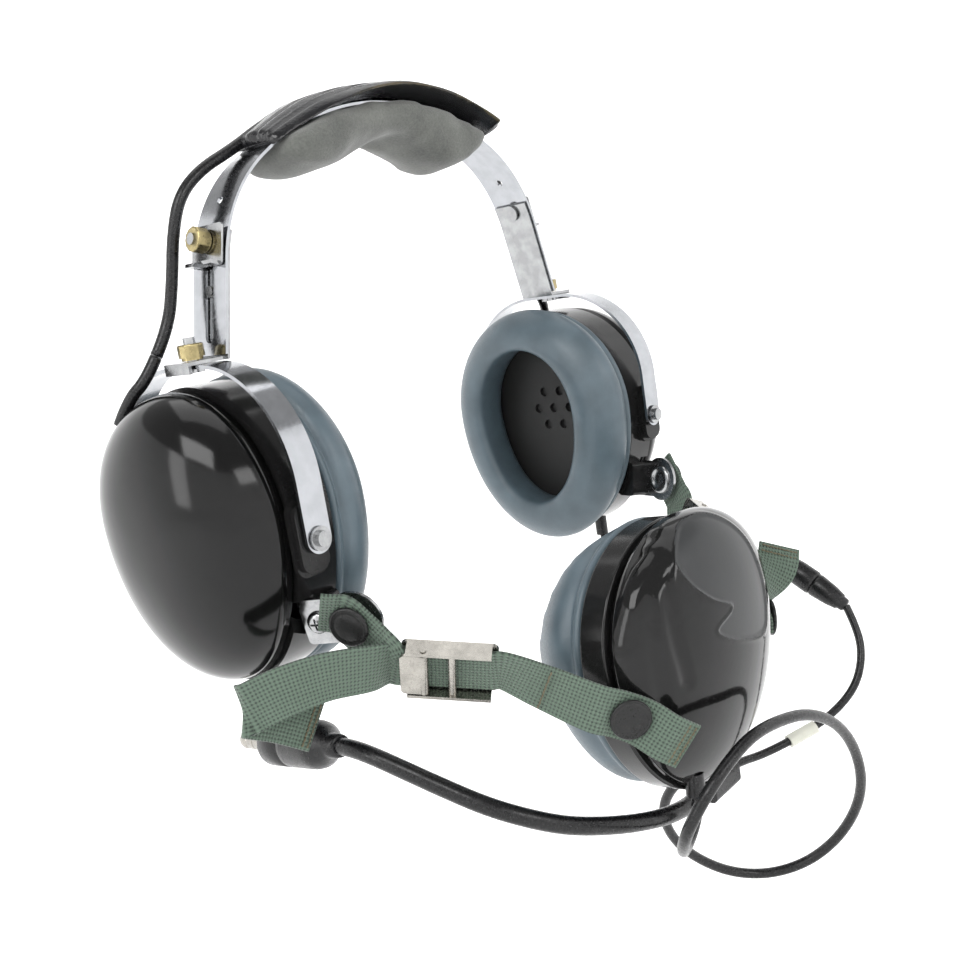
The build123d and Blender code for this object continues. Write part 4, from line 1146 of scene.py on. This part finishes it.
def stitch_row(name, centre, direction, normal, count, body):
    """A row of short raised stitches across a strap."""
    parts = []
    d, n = V(direction).normalized(), V(normal).normalized()
    w = d.cross(n)
    half = STITCH_ROW / count * 0.36
    for i in range(count):
        at = centre + d * (STITCH_ROW * ((i + 0.5) / count - 0.5)) + w * (0.1 * (i % 2))
        shares = [2 * k / 6 - 1 for k in range(7)]
        points = [at + d * (half * share) + n * (STITCH_RISE * (1 - share**2)) for share in shares]
        parts.append(tube_mesh(f"{name}_{i}", points, THREAD_RADIUS, 8))
    row = join(name, parts)
    dress(row, M_THREAD, "webbing_green")
    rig.ride(row, body)
    return row


plate_w = PLATE_N.cross(ear_dir)
buckle_w = BUCKLE_N.cross(buckle_dir)
run_dir = (muff_centre - buckle_high).normalized()
run_w = (BUCKLE_N + MUFF_N).cross(run_dir)
muff_w = MUFF_N.cross(muff_dir)
hem_dir = across(hem - muff_centre, MUFF_N)
hem_w = MUFF_N.cross(hem_dir)
split = ear_centre + ear_dir * 9
middle = (buckle_low + buckle_high) * 0.5
splice = buckle_high + run_dir * 16
through_buckle = [middle, buckle_high - buckle_dir * 3, buckle_high + buckle_dir * 3, splice]
# the right strap's free tail: out to the side, folded round, and back
TAIL = [V(p) for p in (
    (-97.5, -60.5, -42.5), (-110, -54.5, -41), (-121, -48, -42), (-127.5, -43.2, -43.8), (-130.6, -40.6, -45),
    (-130.8, -38.2, -46), (-127, -37.2, -48.5), (-120, -38, -52.5), (-114, -39.8, -56.5), (-108.5, -41.8, -60.5),
)]
TAIL_WIDTHS = [
    (0.0, -0.25, 1), (-0.03, -0.12, 1), (0, 0, 1), (0, 0, 1), (0, 0, 1), (0.02, 0, 1),
    (0.08, 0, 1), (0.22, 0.02, 1), (0.34, 0.03, 1), (0.4, 0.03, 1),
]
# the left strap's end: flat under its snap, then turned up
TURN, TURNED_END = V((-57.4, -121.6, -53.5)), V((-61.8, -121.5, -46.5))
for side, sign in SIDES:
    m = lambda p: flip(p, sign) * 0.001
    if side == "right":
        tab_path = [ear_centre - ear_dir * 10 - plate_w * 3.5 + PLATE_N * 2.4,
                    ear_centre - ear_dir * 6 - plate_w * 1.2 + PLATE_N * 0.5]
    else:
        tab_path = [ear_centre - ear_dir * 8]
    tab_path += [ear_centre - ear_dir * 3, ear_centre + ear_dir * 2, split]
    tab = make_strap(f"{side}_strap_tab", tab_path, [plate_w] * len(tab_path), sign)
    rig.replaces(tab, f"{side}_strap")
    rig.blend(tab, f"{side}_ear", f"{side}_adjuster", m(ear_centre + ear_dir * 2), m(split))
    short_path = [split, split + ear_dir * 4, buckle_low - buckle_dir * 3, buckle_low + buckle_dir * 4,
                  middle]
    to_buckle = make_strap(f"{side}_strap_short", short_path,
                           [plate_w, (plate_w * 2 + buckle_w), buckle_w, buckle_w, buckle_w], sign)
    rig.replaces(to_buckle, f"{side}_strap")
    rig.blend(to_buckle, f"{side}_adjuster", f"{side}_webbing", m(split), m(buckle_low))
    if side == "right":
        path = through_buckle + [muff_centre - muff_dir * 12, muff_centre - muff_dir * 4,
                                 muff_centre + hem_dir * 5, hem - hem_dir * 8, hem]
        widths = [buckle_w, buckle_w, buckle_w, run_w, muff_w, muff_w, hem_w, hem_w, hem_w]
        long = make_strap("right_strap_long", path, widths, sign)
        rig.replaces(long, "right_strap")
        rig.blend(long, "right_webbing", "mask", m(muff_centre - muff_dir * 14), m(muff_centre - muff_dir * 5))
        threaded = [buckle_low - BUCKLE_N * 0.9 + buckle_dir * 5, buckle_low - BUCKLE_N * 0.7 - buckle_dir * 3]
        tail = make_strap("right_strap_tail", threaded + TAIL, [buckle_w, buckle_w] + TAIL_WIDTHS, sign)
        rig.replaces(tail, "right_strap")
        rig.ride(tail, "right_webbing")
        for k, back in enumerate((1.2, 3.4)):
            stitch_row(f"right_hem_stitches_{k}", hem - hem_dir * back + MUFF_N * 0.6, hem_w, MUFF_N, 9, "mask")
        tail_dir = (TAIL[-1] - TAIL[-2]).normalized()
        tail_w = across(V(TAIL_WIDTHS[-1]), tail_dir)
        tail_n = tail_dir.cross(tail_w)
        for k, back in enumerate((1.0, 2.8)):
            stitch_row(f"right_tail_stitches_{k}", TAIL[-1] - tail_dir * back + tail_n * 0.6, tail_w, tail_n, 9,
                       "right_webbing")
        run_n = run_dir.cross(run_w)
        stitch_row("right_splice_stitches", splice + run_n * 0.75, run_w, run_n, 10, "right_webbing")
    else:
        path = through_buckle + [muff_centre - muff_dir * 12, muff_centre - muff_dir * 3 - MUFF_N * 0.3]
        widths = [buckle_w, buckle_w, buckle_w, run_w, muff_w, muff_w]
        long = make_strap("left_strap_long", path, widths, sign)
        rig.replaces(long, "left_strap")
        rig.ride(long, "left_webbing")
        flat_dir = across(TURNED_END - muff_centre, MUFF_N)
        flat_w = MUFF_N.cross(flat_dir)
        turned_dir = (TURNED_END - TURN).normalized()
        turned_w = across(V((-0.348, -0.58, -0.737)), turned_dir)
        turned_w = turned_w if turned_w.dot(flat_w) > 0 else -turned_w
        path = [muff_centre - flat_dir * 6.5, muff_centre, muff_centre + flat_dir * 7, TURN, TURNED_END]
        widths = [flat_w, flat_w, flat_w * 2 + turned_w, turned_w, turned_w]
        end = make_strap("left_strap_hem", path, widths, sign)
        side_n = flip(turned_w.cross(turned_dir), sign)
        for k, back in enumerate((1.2, 3.4)):
            row_centre = flip(TURNED_END - turned_dir * back, sign)
            for face in (-1, 1):
                stitch_row(f"left_hem_stitches_{k}_{face + 1}", row_centre + side_n * 0.6 * face,
                           flip(turned_w, sign), side_n * face, 9, "mask")
        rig.replaces(end, "left_strap")
        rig.ride(end, "mask")

# ---- snaps, screw and plate details ---------------------------------------------------------------
RECESS_LENGTH, RECESS_WIDTH = 4.2, 0.75  # of each arm of the screw's cross
CAP_LIFT, EYELET_DROP = 5.5, 0.6  # from the strap plate's outer face
# (radius, height) pairs
CAP_PROFILE = [(2.0, -0.9), (5.6, -0.9), (6.5, -0.5), (6.9, 0.1), (6.8, 0.7), (6.3, 1.05), (5.7, 1.0),
               (5.3, 0.75), (4.6, 0.9), (2.6, 1.15), (1.2, 1.2)]
STUD_PROFILE = [(6.9, -1.9), (7.0, 0.2), (6.6, 0.75), (5.6, 0.9), (4.8, 0.6), (3.4, 0.6), (2.6, 1.0),
                (2.4, 4.4), (1.0, 4.5)]
SCREW_PROFILE = [(1.0, -6), (1.9, -5.9), (1.9, 0.6), (3.7, 0.65), (3.85, 1.0), (3.7, 1.7), (3.1, 2.3),
                 (2.2, 2.65), (1.0, 2.78)]
EYELET_PROFILE = [(2.6, -0.3), (6.2, -0.2), (6.4, 0.5), (5.8, 1.0), (4.9, 1.1), (4.3, 0.8), (3.9, 0.3),
                  (2.2, 0.3)]


def mirrored_plane(frame_, sign):
    """The same drawing plane on the chosen side of the head."""
    return tuple(flip(v, sign) for v in frame_)


for side, sign in SIDES:
    face = mirrored_plane(plane(SCREW, PLATE_N, PLATE_U), sign)
    head = disc(f"{side}_screw", face, SCREW_PROFILE)
    for turned in (0, 1):
        arm = (RECESS_LENGTH, RECESS_WIDTH) if turned else (RECESS_WIDTH, RECESS_LENGTH)
        recess = slab("recess", face, rounded(0, 0, *arm, 0.2, 2), 1.3, 4, 0)
        modify(head, "BOOLEAN", operation="DIFFERENCE", solver="EXACT", object=recess)
        bpy.data.objects.remove(recess)
    shade(head, 35)
    settle(head, M_STEEL, "bright_steel", f"{side}_ear", f"{side}_ear_snap")
    o, x, y, z = snap_face = mirrored_plane(plane(SNAP, PLATE_N, PLATE_U), sign)
    hexagon = [(5.4 * cos(radians(60 * j)), 5.4 * sin(radians(60 * j))) for j in range(6)]
    base = slab(f"{side}_snap_base", snap_face, hexagon, 0.6, 2.4, 0.4)
    post = disc(f"{side}_snap_post", snap_face, [(1.5, 2.2), (2.2, 2.2), (2.2, 5.0), (1.5, 5.0)])
    cap = disc(f"{side}_snap_cap", (o + z * CAP_LIFT, x, y, z), CAP_PROFILE)
    ring = disc(f"{side}_snap_eyelet", (o - z * EYELET_DROP, x, y, -z), EYELET_PROFILE)
    for piece in (base, post, ring):
        settle(piece, M_STEEL, "bright_steel", f"{side}_ear", f"{side}_ear_snap")
    settle(cap, M_SNAP, "snap_black", f"{side}_ear", f"{side}_ear_snap")
    o, x, y, z = muff_face = mirrored_plane(plane(MUFF_SNAP, MUFF_N, muff_dir), sign)
    stud = disc(f"{side}_mask_stud", muff_face, STUD_PROFILE)
    settle(stud, M_STEEL, "bright_steel", "mask", "mask_snaps")
    cap = disc(f"{side}_mask_cap", (o + z * CAP_LIFT, x, y, z), CAP_PROFILE)
    settle(cap, M_SNAP, "snap_black", "mask", "mask_snaps")

# ---- cord fittings --------------------------------------------------------------------------------
PLUG_AXIS = V((0.12, 0.97, -0.2)).normalized()
plug_face = plane((-95, -29.5, -75.5), PLUG_AXIS, (1, 0, 0))
plug = disc("plug_moulding", plug_face,
            [(3.2, -6.5), (3.9, -6.2), (4.1, -1.0), (4.6, 0.2), (6.4, 2.6), (8.0, 5.5), (8.5, 8.5), (8.55, 22),
             (8.6, 24), (8.0, 24.6), (8.0, 25.8), (8.6, 26.4), (8.6, 38.4), (8.1, 39.6), (7.0, 40.0)])
settle(plug, M_PLUG, "plug_black", "mask", "plug_body")
barrel = disc("plug_contact", plug_face,
              [(3.56, 39.8), (3.56, 52.6), (3.3, 52.8), (3.3, 53.6), (3.56, 53.8), (3.56, 57.8), (2.6, 58.3),
               (2.55, 59.4), (3.3, 60.6), (3.5, 62.2), (2.9, 64.6), (1.6, 66.4), (0.6, 66.9)])
settle(barrel, M_NICKEL, "barrel_nickel", "mask", "plug_barrel")
shade(barrel, 30)

CONNECTOR_ENDS = V((99.5, -103, -66)), V((99, -129, -83))
connector_axis = (CONNECTOR_ENDS[1] - CONNECTOR_ENDS[0]).normalized()
reach = (CONNECTOR_ENDS[1] - CONNECTOR_ENDS[0]).length
link_face = plane(CONNECTOR_ENDS[0], connector_axis, (1, 0, 0))
socket = disc("lead_socket", link_face,
              [(1.4, 0.0), (2.4, 0.2), (3.2, 1.4), (4.2, 3.2), (4.9, 5.0), (5.15, 8), (5.2, reach / 2 - 0.9),
               (4.9, reach / 2 - 0.15), (4.2, reach / 2)])
settle(socket, M_PLUG, "plug_black", "mask", "connector_socket")
link = disc("lead_plug", link_face,
            [(4.2, reach / 2 + 0.05), (4.75, reach / 2 + 0.3), (4.95, reach / 2 + 1.2), (4.3, reach - 7),
             (3.6, reach - 3.6), (3.5, reach - 3.0), (2.9, reach - 2.6), (2.7, reach - 0.5), (2.0, reach)])
settle(link, M_PLUG, "plug_black", "mask", "connector_plug")
free_cord("headset_lead", list(reversed(LEAD_ROUTE)), 3.2, "connector", "limp",
          [nodes["marker_sleeve"], link, socket])
declare(lead_near, ear_near, 2.5, "object", "limp", "loose", path=True)
declare(lead_far, ear_far, 2.5, "connector", "limp", "loose", [socket], path=True)

# ---- finish ---------------------------------------------------------------------------------------
json.dump({"cad": [list(p) for p in cad_box], "visual": [list(p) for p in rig.bounds()]}, open("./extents.json", "w"))
